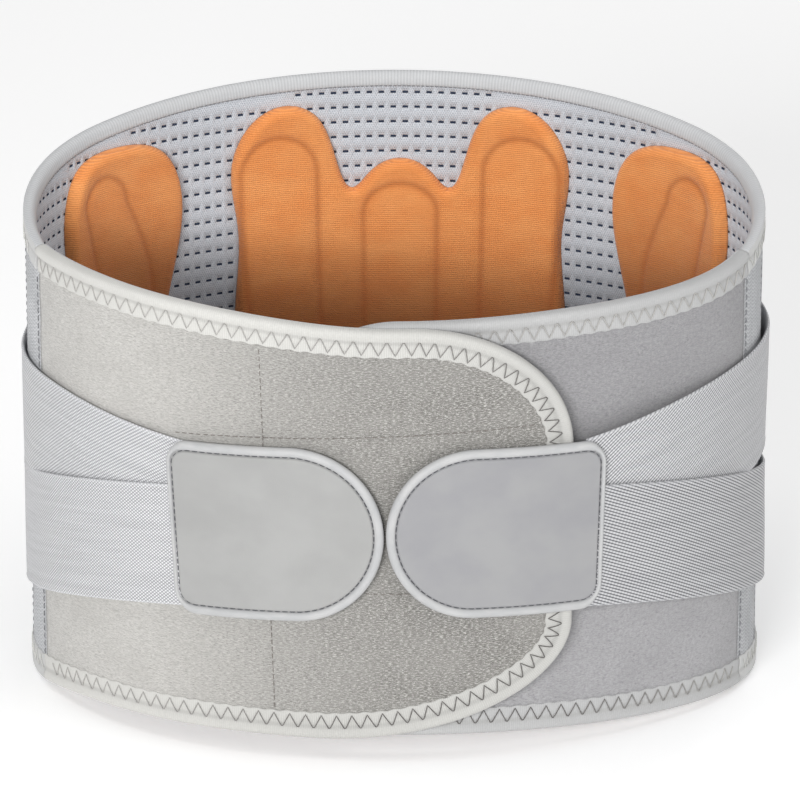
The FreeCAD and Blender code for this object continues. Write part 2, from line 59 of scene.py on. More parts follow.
HALF_WIDTH, HALF_DEPTH, SIDE_RADIUS = 142.1, 101.5, 76.0
BACK_TOP = (
    (-60, 178.5), (-32, 185.0), (0, 192.3), (26, 198.8), (50, 204.4), (75, 209.8), (92, 213.0),
    (103, 214.8), (140, 221))
OUTER_TOP = (
    (-140, 163.5), (-111, 176.2), (-107, 178.2), (-101, 180.2), (-93, 181.9), (-80, 183.4), (-66, 184.4),
    (-50, 185.0), (-31, 185.3), (-10, 185.9))
INNER_TOP = (
    (-140, 172.0), (-103, 178.2), (-94, 179.0), (-80, 179.4), (-66, 180.0), (-50, 181.8),
    (-34.5, 184.4), (-10, 190.0))
OUTER_LOW = ((-140, 8.8), (-104, 8.2), (-80, 6.9), (-57, 5.0), (-42, 2.9), (-31, 1.2), (-10, -2.0))
INNER_LOW = ((-140, 12.5), (-100, 7.7), (-85, 5.6), (-65, 3.5), (-50, 2.4), (-34.5, 1.5), (-10, 0.2))
LOW_LIFT_Y, LOW_LIFTED_Y, LOW_LIFT = -5.0, -35.0, 1.6
LAYER = 1.2
WALL = 3 * LAYER
SIDES = ("left", "right")
WAY = {"left": -1, "right": 1}
SEAM = {"left": 24.0, "right": 27.0}
GUSSET_ANGLE = 18.0
FLAP_LIFT, OUTER_FLAP_END, INNER_FLAP_END, FLAP_SPARE = 5.8, 68.5, -44.0, 12.0
OUTER_CORNERS = ((62.0, 51.0), (100.0, 46.0))
INNER_CORNERS = ((46.0, 45.0), (42.0, 40.0))
STRAP_THICKNESS = 1.3
UPPER_OFFSET, LOWER_OFFSET = 4.6, 6.2
UPPER_LINE = {
    "left": ((-110, 97.5), (-80, 103.7), (-50, 108.0), (0, 110.0), (50, 115.0), (115, 120.0)),
    "right": ((-110, 96.5), (-80, 108.5), (-50, 114.3), (0, 118.5), (50, 122.5), (115, 125.0)),
}
LOWER_LINE = ((-110, 89.5), (-80, 80.8), (-50, 72.0), (0, 59.5), (50, 54.5), (115, 52.5))
STRAP_REAR_END = 66.0
TAB_LENGTH = {"left": 82.5, "right": 84.0}
TAB_HEIGHT = {"left": 71.0, "right": 69.0}
TAB_TILT = {"left": 3.0, "right": 1.6}
TAB_MIDDLE = {"left": 91.5, "right": 93.5}
TAB_CORNER, TAB_MEETING_X, TAB_NOSE_GAP = 9.0, -3.5, 0.8
STAY_PLACES = (-52.0, -18.0, 18.0, 52.0)
PAD_THICKNESS = 6.0
BINDING_CREASE, LINING_INSET, SKIN_INSET = 6.5, 4.0, 5.0
FLAP_BEND, ANY_HEIGHT = 13.0, 100.0
PAD_PLACES = {"centre_pad": 2.4, "left_pad": -108.8, "right_pad": 110.9}

SIDE_CENTRE = HALF_WIDTH - SIDE_RADIUS
LONG_RADIUS = (SIDE_CENTRE ** 2 + HALF_DEPTH ** 2 - SIDE_RADIUS ** 2) / (2 * (HALF_DEPTH - SIDE_RADIUS))
LONG_CENTRE = LONG_RADIUS - HALF_DEPTH
TANGENT = math.degrees(math.atan2(LONG_CENTRE, SIDE_CENTRE))
SHIFT_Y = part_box("back_lining")[1].y * 1000 - HALF_DEPTH - LAYER


# ---- Small tools --------------------------------------------------------------------------

def beside(*parts):
    """Arrays side by side along a new last axis."""
    return np.stack(parts, -1)


def unit(rows):
    return rows / np.linalg.norm(rows, axis=1)[:, None]


def grid_of(first, second):
    """Every pair of two lists of values, as rows."""
    return beside(*np.meshgrid(first, second, indexing="ij")).reshape(-1, 2)


def hump(value, middle, width):
    return np.exp(-((value - middle) / width) ** 2)


def smoothstep(low, high, value):
    t = np.clip((value - low) / (high - low), 0, 1)
    return t * t * (3 - 2 * t)


def ripple(s, z, size, seed):
    """Gentle uneven relief from -1 to 1 with bumps of about this size."""
    rng = np.random.default_rng(seed)
    total = np.zeros(np.broadcast(s, z).shape)
    for _ in range(7):
        turn, phase = rng.uniform(0, 2 * math.pi, 2)
        rate = 2 * math.pi / (size * rng.uniform(0.8, 2.4))
        total = total + np.sin(rate * (s * math.cos(turn) + z * math.sin(turn)) + phase)
    return total / 4.5


def run_of(points):
    """Length walked along a line at each of its points."""
    return np.concatenate([[0], np.cumsum(np.linalg.norm(np.diff(points, axis=0), axis=1))])


def sample(at, run, points):
    """Points of a line at lengths walked along it."""
    return beside(*[np.interp(at, run, points[:, axis]) for axis in range(points.shape[1])])


def even(points, spacing):
    """Points spread evenly along a line."""
    points = np.asarray(points, float)
    run = run_of(points)
    return sample(np.linspace(0, run[-1], max(3, int(round(run[-1] / spacing)) + 1)), run, points)


def cubic(points):
    """Natural cubic through a few points."""
    x, y = np.array(points, float).T
    step = np.diff(x)
    count = len(x)
    matrix, right = np.eye(count), np.zeros(count)
    for i in range(1, count - 1):
        matrix[i, i - 1:i + 2] = step[i - 1], 2 * (step[i - 1] + step[i]), step[i]
        right[i] = 6 * ((y[i + 1] - y[i]) / step[i] - (y[i] - y[i - 1]) / step[i - 1])
    curve = np.linalg.solve(matrix, right)

    def value(at):
        at = np.asarray(at, float)
        i = np.clip(np.searchsorted(x, at) - 1, 0, count - 2)
        h, a, b = step[i], (x[i + 1] - at) / step[i], (at - x[i]) / step[i]
        bend = ((a ** 3 - a) * curve[i] + (b ** 3 - b) * curve[i + 1]) * h ** 2 / 6
        return a * y[i] + b * y[i + 1] + bend

    return value


def closed_curve(points, spacing):
    """Smooth closed curve through points, as a loop of evenly spaced points."""
    points = np.array(points, float)
    wrapped = np.vstack([points[-3:], points, points[:4]])
    chord = np.concatenate([[0], np.cumsum(np.linalg.norm(np.diff(wrapped, axis=0), axis=1) ** 0.7)])
    fine = np.linspace(chord[3], chord[3 + len(points)], 1200)
    return even(beside(*[cubic(beside(chord, wrapped[:, axis]))(fine) for axis in (0, 1)]), spacing)[:-1]


# ---- Plan tracks --------------------------------------------------------------------------

class Track:
    """A chain of tangent arcs (centre x, centre y, radius, start, end), run from its start."""

    def __init__(self, arcs, side_name="right"):
        if side_name == "left":
            arcs = [(-cx, cy, radius, 180 - start, 180 - end) for cx, cy, radius, start, end in arcs]
        self.arcs = np.array(arcs, float)
        lengths = np.abs(np.radians(self.arcs[:, 4] - self.arcs[:, 3])) * self.arcs[:, 2]
        self.starts = np.concatenate([[0], np.cumsum(lengths)])
        self.length = self.starts[-1]
        self.front_from = 0.0

    def at(self, s):
        """Point of the inner face and its outward normal, in plan, before the shift in depth."""
        s = np.asarray(s, float)
        index = np.clip(np.searchsorted(self.starts, s, side="right") - 1, 0, len(self.arcs) - 1)
        cx, cy, radius, start, end = (self.arcs[index, column] for column in range(5))
        turn = np.radians(start) + np.sign(end - start) * (s - self.starts[index]) / radius
        normal = beside(np.cos(turn), np.sin(turn))
        return beside(cx, cy) + radius[..., None] * normal, normal

    def out(self, s):
        """Outward normals in space."""
        normal = self.at(s)[1]
        return np.concatenate([normal, np.zeros((len(normal), 1))], 1)

    def place(self, s, z, offset):
        """Points in the row frame, in millimetres."""
        s, z, offset = np.broadcast_arrays(np.asarray(s, float), z, offset)
        point, normal = self.at(s)
        plan = point + normal * offset[..., None]
        return beside(plan[..., 0], plan[..., 1] + SHIFT_Y, z)

    def across_and_depth(self, s, offset=WALL / 2):
        """Plan position before the shift, as the height functions take it."""
        point, normal = self.at(s)
        plan = point + normal * offset
        return plan[..., 0], plan[..., 1]

    def depth(self, s):
        return self.across_and_depth(s)[1]

    def s_at_x(self, x, offset=WALL / 2):
        """Where the track's front passes a station across the belt."""
        s = np.linspace(self.front_from, self.length, 4000)
        found = self.across_and_depth(s, offset)[0]
        order = np.argsort(found)
        return np.interp(x, found[order], s[order])


def easing_arc():
    """Centre, radius, leaving and arriving angles of the arc that lifts a front track."""
    side, front = np.array([SIDE_CENTRE, 0.0]), np.array([0.0, LONG_CENTRE])
    span = side - front
    length = np.linalg.norm(span)
    half_major = (length + FLAP_LIFT) / 2
    half_minor = math.sqrt(half_major ** 2 - (length / 2) ** 2)
    centre = (side + front) / 2 + np.array([span[1], -span[0]]) / length * half_minor
    angles = [math.degrees(math.atan2(y, x)) for x, y in (side - centre, centre - front)]
    return centre, SIDE_RADIUS + half_major, *angles


EASING = easing_arc()


def lifted_arcs(side_start, end_x):
    """Right-hand arcs from a side angle to a station across the lifted front."""
    centre, radius, leave, arrive = EASING
    front_radius = LONG_RADIUS + FLAP_LIFT
    end = -math.degrees(math.acos(end_x / (front_radius + WALL)))
    return [
        (SIDE_CENTRE, 0, SIDE_RADIUS, side_start, leave),
        (centre[0], centre[1], radius, leave, arrive),
        (0, LONG_CENTRE, front_radius, arrive, end),
    ]


BACK = Track([
    (SIDE_CENTRE, 0, SIDE_RADIUS, -SEAM["right"], TANGENT),
    (0, -LONG_CENTRE, LONG_RADIUS, TANGENT, 180 - TANGENT),
    (-SIDE_CENTRE, 0, SIDE_RADIUS, 180 - TANGENT, 180 + SEAM["left"]),
])
OUTER = Track(lifted_arcs(-SEAM["left"], -OUTER_FLAP_END - FLAP_SPARE), "left")
INNER_STOP = -math.degrees(math.acos((INNER_FLAP_END - FLAP_SPARE) / LONG_RADIUS))
INNER = Track([
    (SIDE_CENTRE, 0, SIDE_RADIUS, -SEAM["right"], -TANGENT),
    (0, LONG_CENTRE, LONG_RADIUS, -TANGENT, INNER_STOP),
])


def strap_track(side_name):
    """From the strap's rear end round the side to the middle of the front."""
    rear_start = math.degrees(math.acos(STRAP_REAR_END / (LONG_RADIUS + WALL)))
    rear = (0, -LONG_CENTRE, LONG_RADIUS, rear_start, TANGENT)
    made = Track([rear] + lifted_arcs(TANGENT, -30), side_name)
    made.seam = made.starts[1] + math.radians(TANGENT + SEAM[side_name]) * SIDE_RADIUS
    made.front_from = made.seam
    return made


STRAPS = {side_name: strap_track(side_name) for side_name in SIDES}


# ---- Panels of the wall and their outlines ------------------------------------------------

def back_low(y):
    """Height of the back's lower hem: level, then rising a little towards the front."""
    run = LOW_LIFT_Y - LOW_LIFTED_Y
    radius = (run ** 2 + LOW_LIFT ** 2) / (2 * LOW_LIFT)
    past = np.minimum(np.asarray(y, float) - LOW_LIFT_Y, 0)
    return radius - np.sqrt(radius ** 2 - past ** 2)


class Panel:
    """A part of the wall between its hems. A flap also has a free end with two round corners."""

    def __init__(self, path, top, low, end_x=None, corners=None):
        self.path, self.top, self.low, self.end_x, self.corners = path, top, low, end_x, corners
        self.stop = path.length if end_x is None else float(path.s_at_x(end_x))
        self.way = np.sign(end_x or 1)

    def corner_start(self, across):
        """Where a corner begins: its reach across and its place."""
        x = abs(self.end_x) - across
        return x, float(self.path.s_at_x(self.way * x))

    def limits(self, s, inset):
        """Lowest and highest height of the panel at s."""
        along, y = self.path.across_and_depth(s)
        low, high = self.low(y) + inset, self.top(y) - inset
        if self.end_x is None:
            return low, high
        along = along * self.way
        for (across, up), sign in zip(self.corners, (1, -1)):
            start, start_s = self.corner_start(across)
            edge = (self.top if sign > 0 else self.low)(self.path.depth(start_s))
            share = np.clip((along - start) / (across - inset), 0, 1)
            round_part = edge - sign * up + sign * (up - inset) * np.sqrt(1 - share ** 2)
            if sign > 0:
                high = np.where(along > start, round_part, high)
            else:
                low = np.where(along > start, round_part, low)
        return low, high

    def edge(self, which):
        """The free edge in the flat, walked with the panel on the right: (s, z) and inward (s, z)."""
        if self.end_x is None:
            s = np.linspace(0.0, self.stop, 900)
            low, high = self.limits(s, 0)
            points = beside(s, high) if which == "top" else beside(s, low)[::-1]
        else:
            turn = np.radians(np.linspace(0, 90, 60))
            (top_across, top_up), (low_across, low_up) = self.corners
            (top_x, top_s), (low_x, low_s) = self.corner_start(top_across), self.corner_start(low_across)
            s_top, s_low = np.linspace(0.0, top_s, 400), np.linspace(0.0, low_s, 400)
            high, low = self.limits(s_top, 0)[1], self.limits(s_low, 0)[0]
            top_arc = beside(
                self.path.s_at_x(self.way * (top_x + top_across * np.sin(turn))),
                high[-1] - top_up + top_up * np.cos(turn))
            low_arc = beside(
                self.path.s_at_x(self.way * (low_x + low_across * np.cos(turn))),
                low[-1] + low_up - low_up * np.sin(turn))
            points = np.vstack([beside(s_top, high)[:-1], top_arc, low_arc, beside(s_low, low)[::-1][1:]])
        points = even(points, 1.0)
        tangent = np.gradient(points, axis=0)
        for _ in range(3):
            tangent[1:-1] = (tangent[:-2] + 2 * tangent[1:-1] + tangent[2:]) / 4
        tangent = unit(tangent)
        return points, beside(tangent[:, 1], -tangent[:, 0])


GUSSET_RUN = math.radians(GUSSET_ANGLE) * SIDE_RADIUS
OUTER_PANEL = Panel(OUTER, cubic(OUTER_TOP), cubic(OUTER_LOW), OUTER_FLAP_END, OUTER_CORNERS)
INNER_PANEL = Panel(INNER, cubic(INNER_TOP), cubic(INNER_LOW), INNER_FLAP_END, INNER_CORNERS)
BACK_PANEL = Panel(BACK, cubic(BACK_TOP), back_low)


# ---- Materials ----------------------------------------------------------------------------

def shade(red, green, blue):
    """Linear colour from the usual 0-255 values."""
    parts = [value / 255 for value in (red, green, blue)]
    return tuple(v / 12.92 if v <= 0.04045 else ((v + 0.055) / 1.055) ** 2.4 for v in parts) + (1.0,)


def toned(colour, change):
    return tuple(value + change for value in colour)


class Cloth:
    """A node material whose patterns are laid out in millimetres on the piece's own flat (u, v).

    Colours are 0-255 values."""

    def __init__(self, name, roughness, specular=0.25, sheen=0.0, metallic=0.0, flat=True):
        self.material = bpy.data.materials.new(name)
        self.material.use_nodes = True
        self.nodes, self.links = self.material.node_tree.nodes, self.material.node_tree.links
        self.shader = self.nodes["Principled BSDF"]
        for socket, value in (
                ("Roughness", roughness), ("Specular IOR Level", specular), ("Metallic", metallic),
                ("Sheen Weight", sheen), ("Sheen Roughness", 0.5)):
            self.shader.inputs[socket].default_value = value
        coordinate = self.node("TexCoord", {})
        self.where = coordinate.outputs["UV"]
        if not flat:
            inputs = {0: coordinate.outputs["Object"], "Scale": 1000.0}
            self.where = self.node("VectorMath", inputs, operation="SCALE").outputs[0]
        self.u, self.v, _ = self.node("SeparateXYZ", {0: self.where}).outputs

    def node(self, kind, inputs, **settings):
        """A node with its settings, and its inputs as numbers or links."""
        made = self.nodes.new("ShaderNode" + kind)
        for name, value in settings.items():
            setattr(made, name, value)
        for key, value in inputs.items():
            if isinstance(value, bpy.types.NodeSocket):
                self.links.new(value, made.inputs[key])
            else:
                made.inputs[key].default_value = value
        return made

    def mark(self, name):
        """A value stored on the mesh, such as the nearness of a sunk line, which the pad paints as shade."""
        return self.node("Attribute", {}, attribute_name=name).outputs["Fac"]

    def sum(self, operation, *values):
        return self.node("Math", dict(enumerate(values)), operation=operation).outputs[0]

    def times(self, first, second):
        return self.sum("MULTIPLY", first, second)

    def plus(self, first, second):
        return self.sum("ADD", first, second)

    def less(self, first, second):
        return self.sum("SUBTRACT", first, second)

    def stretched(self, u_size, v_size):
        return self.node("Mapping", {0: self.where, "Scale": (1 / u_size, 1 / v_size, 1.0)}).outputs[0]

    def noise(self, u_size, v_size=None, detail=3.0, roughness=0.55):
        """Noise whose blotches are about u_size by v_size millimetres."""
        where = self.stretched(u_size, v_size or u_size)
        inputs = {"Vector": where, "Scale": 1.0, "Detail": detail, "Roughness": roughness}
        return self.node("TexNoise", inputs).outputs["Fac"]

    def cells(self, size, randomness=1.0):
        inputs = {"Vector": self.stretched(size, size), "Scale": 1.0, "Randomness": randomness}
        return self.node("TexVoronoi", inputs).outputs["Distance"]

    def wave(self, along, pitch):
        """Sine from 0 to 1 with a pitch in millimetres."""
        turned = self.sum("MULTIPLY_ADD", along, 2 * math.pi / pitch, 0.0)
        return self.sum("MULTIPLY_ADD", self.sum("SINE", turned), 0.5, 0.5)

    def slanted(self, degrees):
        """Distance along a direction in the flat."""
        turn = math.radians(degrees)
        return self.plus(self.times(self.u, math.cos(turn)), self.times(self.v, math.sin(turn)))

    def chevron(self, width, pitch):
        """Rows that zigzag across a width."""
        side = self.sum("ABSOLUTE", self.less(self.sum("MODULO", self.u, width), width / 2))
        return self.wave(self.plus(self.v, side), pitch)

    def dots(self, u_pitch, v_pitch, radius, soft):
        """Staggered grid of round dots: 1 inside, 0 outside."""
        v = self.sum("DIVIDE", self.v, v_pitch)
        stagger = self.times(self.sum("MODULO", self.sum("FLOOR", v), 2.0), 0.5)
        u = self.plus(self.sum("DIVIDE", self.u, u_pitch), stagger)
        squares = []
        for value, pitch in ((u, u_pitch), (v, v_pitch)):
            away = self.times(self.less(self.sum("FRACT", value), 0.5), pitch)
            squares.append(self.times(away, away))
        return self.between(self.sum("SQRT", self.plus(*squares)), radius + soft, radius - soft)

    def between(self, value, low, high, out_low=0.0, out_high=1.0):
        inputs = dict(enumerate((value, low, high, out_low, out_high)))
        return self.node("MapRange", inputs, interpolation_type="SMOOTHSTEP").outputs[0]

    def band(self, value, low, high, share):
        """Nothing at low, and this share at high."""
        return self.between(value, low, high, 0.0, share)

    def mix(self, factor, first, second):
        first, second = (shade(*c) if isinstance(c, tuple) else c for c in (first, second))
        return self.node("Mix", {0: factor, 6: first, 7: second}, data_type="RGBA").outputs[2]

    def mottled(self, value, first, second):
        """From one colour to another over the middle of a noise."""
        return self.mix(self.between(value, 0.3, 0.7), first, second)

    def paint(self, base, *layers):
        """Colour from a base and layers of (share, colour) over it."""
        for share, tone in layers:
            base = self.mix(share, base, tone)
        self.links.new(base, self.shader.inputs["Base Color"])
        return self

    def rough(self, low, high, value):
        self.links.new(self.between(value, 0.0, 1.0, low, high), self.shader.inputs["Roughness"])
        return self

    def bump(self, *layers):
        """Each layer is (height 0 to 1, depth in millimetres)."""
        normal = None
        for height, depth in layers:
            inputs = {"Strength": 1.0, "Distance": depth / 1000, "Height": height}
            if normal is not None:
                inputs["Normal"] = normal
            normal = self.node("Bump", inputs).outputs[0]
        self.links.new(normal, self.shader.inputs["Normal"])
        return self


def binding_material(name, light, dark, rib_pitch, rib_share, end_shade=0.0):
    """Knitted elastic binding, with a crease on its outside where the roll ends, painted shade along that crease,
    and painted shade round a flap's free end if asked.
    """
    m = Cloth(name, 0.72, 0.2, sheen=0.15)
    ribs, mottle, fine = m.wave(m.u, rib_pitch), m.noise(14, 4), m.noise(0.7, 0.35, 2)
    crease = m.sum("ABSOLUTE", m.less(m.v, BINDING_CREASE))
    layers = [
        (m.times(ribs, rib_share), toned(dark, -44)),
        (m.band(fine, 0.35, 0.75, 0.22), toned(dark, -26)),
        # Painted shade in the crease where the roll ends.
        (m.band(crease, 1.5, 0.1, 0.34), (150, 149, 146)),
    ]
    # Painted shade round the flap's free end.
    if end_shade:
        free_end_shade = m.times(m.band(m.u, 70.0, 250.0, end_shade), m.between(m.u, 570.0, 430.0))
        layers.append((free_end_shade, (118, 118, 117)))
    m.rough(0.62, 0.85, mottle)
    return m.paint(m.mix(mottle, dark, light), *layers).bump((ribs, 0.06), (fine, 0.05))


def brushed_material(name, light, dark, streak_u, streak_v, shaded, shade_from, shade_to, grain, upright=False):
    """Brushed loop: short laid fibres in streaks, with painted shade growing from one place along it (or up it)
    to another.
    """
    m = Cloth(name, 0.85, 0.15, sheen=0.25)
    streaks = m.noise(streak_u, streak_v, 5, 0.7)
    long_fibres = m.noise(streak_u * 2.2, streak_v * 0.7, 3, 0.6)
    fine, flecks_and_glints, blotch = m.noise(1.8, 0.32, 3, 0.8), m.noise(1.5, 0.30, 3, 0.8), m.noise(26, 17, 3)
    laid = m.between(streaks, 0.36, 0.64)
    # Painted shade: both colours darken by shaded from shade_from to shade_to, along u, or up v when upright.
    painted_shade = m.between(m.v if upright else m.u, shade_from, shade_to)
    base = m.mix(painted_shade, m.mix(laid, dark, light), m.mix(laid, toned(dark, -shaded), toned(light, -shaded)))
    strength = m.between(m.u, 40.0, 190.0, grain * 0.45, grain)
    m.paint(
        base,
        (m.times(m.between(fine, 0.54, 0.40), strength), toned(dark, -92)),
        # Pale flecks: fibre grain together with painted glints on the fibres.
        (m.times(m.between(flecks_and_glints, 0.50, 0.62), strength), toned(light, 12)),
        (m.band(long_fibres, 0.52, 0.68, 0.28), toned(dark, -56)),
        (m.band(blotch, 0.35, 0.7, 0.25), toned(dark, -24)))
    return m.rough(0.75, 0.95, blotch).bump((streaks, 0.3), (flecks_and_glints, 0.22), (fine, 0.22))


def lining_material():
    m = Cloth("lining_mesh", 0.8, 0.2, sheen=0.15)
    pores, ribs = m.dots(0.98, 0.9, 0.26, 0.16), m.wave(m.v, 0.9)
    blotch, pepper = m.noise(18), m.noise(0.55, 0.45, 2, 0.8)
    m.paint(
        m.mix(blotch, (196, 199, 205), (210, 213, 218)),
        (m.times(pores, 0.55), (132, 138, 149)),
        (m.band(pepper, 0.52, 0.68, 0.55), (240, 242, 246)),
        (m.band(pepper, 0.46, 0.30, 0.55), (112, 118, 130)),
        # Painted shade: the lining darkens towards its bottom, from 172 down to 104 mm up.
        (m.band(m.v, 172.0, 104.0, 0.52), (96, 99, 105)))
    return m.rough(0.7, 0.9, blotch).bump((m.less(1.0, pores), 0.10), (ribs, 0.05))


def void_material():
    m = Cloth("lining_opening", 0.9, 0.1)
    grain = m.noise(0.4, 0.4, 2)
    return m.paint(m.mix(grain, (44, 52, 70), (72, 81, 102))).bump((grain, 0.1))


def pad_material(name, shadow_from, shadow_to, shadow_share):
    """Ribbed knit over foam, with painted shade growing downwards and painted shade along its sunk lines."""
    m = Cloth(name, 0.78, 0.2, sheen=0.2)
    ribs = m.wave(m.sum("MULTIPLY_ADD", m.noise(9, 3), 0.5, m.v), 0.85)
    purl, blotch, grain = m.wave(m.u, 0.9), m.noise(22, 15, 4), m.noise(0.8, 0.5, 3, 0.7)
    m.paint(
        m.mottled(blotch, (246, 156, 86), (255, 172, 102)),
        (m.times(m.less(1.0, ribs), 0.40), (186, 98, 46)),
        (m.band(grain, 0.5, 0.8, 0.30), (252, 186, 128)),
        (m.band(grain, 0.44, 0.26, 0.45), (176, 92, 44)),
        # Painted shade: the pad darkens towards its bottom.
        (m.band(m.v, shadow_from, shadow_to, shadow_share), (104, 54, 26)),
        # Painted shade along the sunk contour lines and the step of the rolled edge.
        (m.times(m.mark("sunk"), 0.5), (166, 88, 40)))
    return m.rough(0.7, 0.9, blotch).bump((ribs, 0.16), (m.times(purl, ribs), 0.08), (grain, 0.06))


def webbing_material(name, lean, check, pitch, cross, contrast, tone):
    """Elastic webbing: fine slanted rows of stitches, broken up by rows the other way."""
    m = Cloth(name, 0.62, 0.3, sheen=0.12)
    rows, other = m.wave(m.slanted(lean), pitch), m.wave(m.slanted(check), pitch * 1.1)
    knots = m.times(rows, m.sum("MULTIPLY_ADD", other, cross, 1 - cross))
    edge = m.between(m.sum("ABSOLUTE", m.v), 23.7, 24.3)
    m.paint(
        m.mottled(m.noise(40, 2.2, 2), (tone, tone, tone + 2), (tone + 12, tone + 12, tone + 14)),
        (m.band(knots, 0.50, 0.90, 0.75), (tone + 44, tone + 44, tone + 46)),
        (m.band(knots, 0.28, 0.02, contrast), (tone - 104, tone - 102, tone - 97)),
        (m.times(edge, 0.35), (tone + 16, tone + 17, tone + 20)))
    return m.rough(0.5, 0.75, knots).bump((knots, 0.12), (m.wave(m.u, 1.05), 0.04))


def skin_material(name, light, dark):
    """Smooth matte coated fabric with a very fine grain."""
    m = Cloth(name, 0.55, 0.3)
    blotch, pores, grain = m.noise(30, 24, 3), m.cells(0.45), m.noise(0.35, 0.35, 3)
    m.paint(m.mottled(blotch, dark, light), (m.between(pores, 0.0, 0.3, 0.10, 0.0), toned(dark, -30)))
    return m.rough(0.48, 0.62, blotch).bump((pores, 0.025), (grain, 0.015))


def piping_material():
    m = Cloth("tab_piping", 0.5, 0.3)
    blotch, grain = m.noise(12, 5, 3), m.noise(0.5, 0.5, 3)
    base = m.mottled(blotch, (172, 173, 174), (184, 184, 184))
    m.paint(base, (m.band(grain, 0.55, 0.8, 0.2), (164, 165, 166)))
    return m.rough(0.42, 0.6, blotch).bump((grain, 0.03))


def thread_material(name, light, dark):
    """Twisted sewing thread."""
    m = Cloth(name, 0.6, 0.3, sheen=0.2)
    twist = m.wave(m.slanted(55), 0.42)
    return m.paint(m.mix(twist, dark, light), (m.band(m.noise(5, 5), 0.4, 0.7, 0.3), light)).bump((twist, 0.05))


def zigzag_material():
    """Zigzag thread of the outer flap, with painted shade round the free end, so paler at its two ends."""
    m = Cloth("zigzag_thread", 0.6, 0.3, sheen=0.2)
    twist = m.wave(m.slanted(55), 0.42)
    # Painted shade round the flap's free end.
    free_end_shade = m.times(m.between(m.u, 120.0, 560.0), m.between(m.u, 1170.0, 860.0))
    base = m.mix(free_end_shade, (186, 184, 180), (98, 95, 92))
    return m.paint(base, (m.times(twist, 0.2), (88, 86, 84))).bump((twist, 0.05))


def gusset_material():
    m = Cloth("gusset_elastic", 0.7, 0.25, sheen=0.15)
    chevron, blotch = m.chevron(4.4, 1.5), m.noise(9, 16)
    m.paint(m.mottled(blotch, (178, 179, 181), (194, 195, 197)), (m.times(chevron, 0.5), (124, 126, 130)))
    return m.rough(0.6, 0.8, blotch).bump((chevron, 0.12), (m.wave(m.v, 0.9), 0.05))


def back_mesh_material():
    m = Cloth("back_mesh", 0.8, 0.2, sheen=0.2)
    holes, yarn, blotch = m.dots(2.6, 2.3, 0.62, 0.22), m.noise(0.8, 0.5, 3, 0.7), m.noise(30)
    m.paint(
        m.mottled(blotch, (150, 153, 158), (166, 169, 173)),
        (m.band(yarn, 0.4, 0.7, 0.3), (184, 187, 191)),
        (m.times(holes, 0.85), (58, 61, 68)))
    return m.rough(0.7, 0.9, blotch).bump((m.less(1.0, holes), 0.3), (yarn, 0.08))


def tape_material():
    m = Cloth("woven_tape", 0.7, 0.25, sheen=0.15)
    weave, blotch = m.chevron(3.0, 0.95), m.noise(12, 30)
    m.paint(m.mottled(blotch, (150, 153, 158), (170, 172, 177)), (m.times(weave, 0.35), (112, 115, 122)))
    return m.rough(0.6, 0.8, blotch).bump((weave, 0.1))


def hook_material():
    m = Cloth("hook_tape", 0.5, 0.35, flat=False)
    stems, tips = m.cells(1.3, randomness=0.25), m.cells(0.6)
    base = m.mix(m.between(stems, 0.1, 0.6), (176, 178, 181), (96, 99, 104))
    return m.paint(base).bump((m.less(1.0, stems), 0.5), (tips, 0.1))


def foam_material():
    m = Cloth("board_foam", 0.85, 0.15, flat=False)
    cells = m.cells(0.8)
    base = m.mix(m.noise(10), (176, 177, 178), (196, 197, 198))
    return m.paint(base, (m.between(cells, 0.0, 0.3, 0.3, 0.0), (120, 121, 123))).bump((cells, 0.15))


def insert_material():
    m = Cloth("pad_insert_rubber", 0.5, 0.4, flat=False)
    return m.paint(m.mix(m.noise(12), (214, 120, 60), (228, 138, 76))).bump((m.noise(0.6), 0.03))


def steel_material():
    m = Cloth("stay_steel", 0.35, 0.5, metallic=1.0, flat=False)
    drawn = m.noise(0.5, 0.5, 3)
    m.paint(m.mix(m.noise(14), (150, 152, 155), (184, 186, 189)))
    return m.rough(0.28, 0.5, drawn).bump((drawn, 0.02))


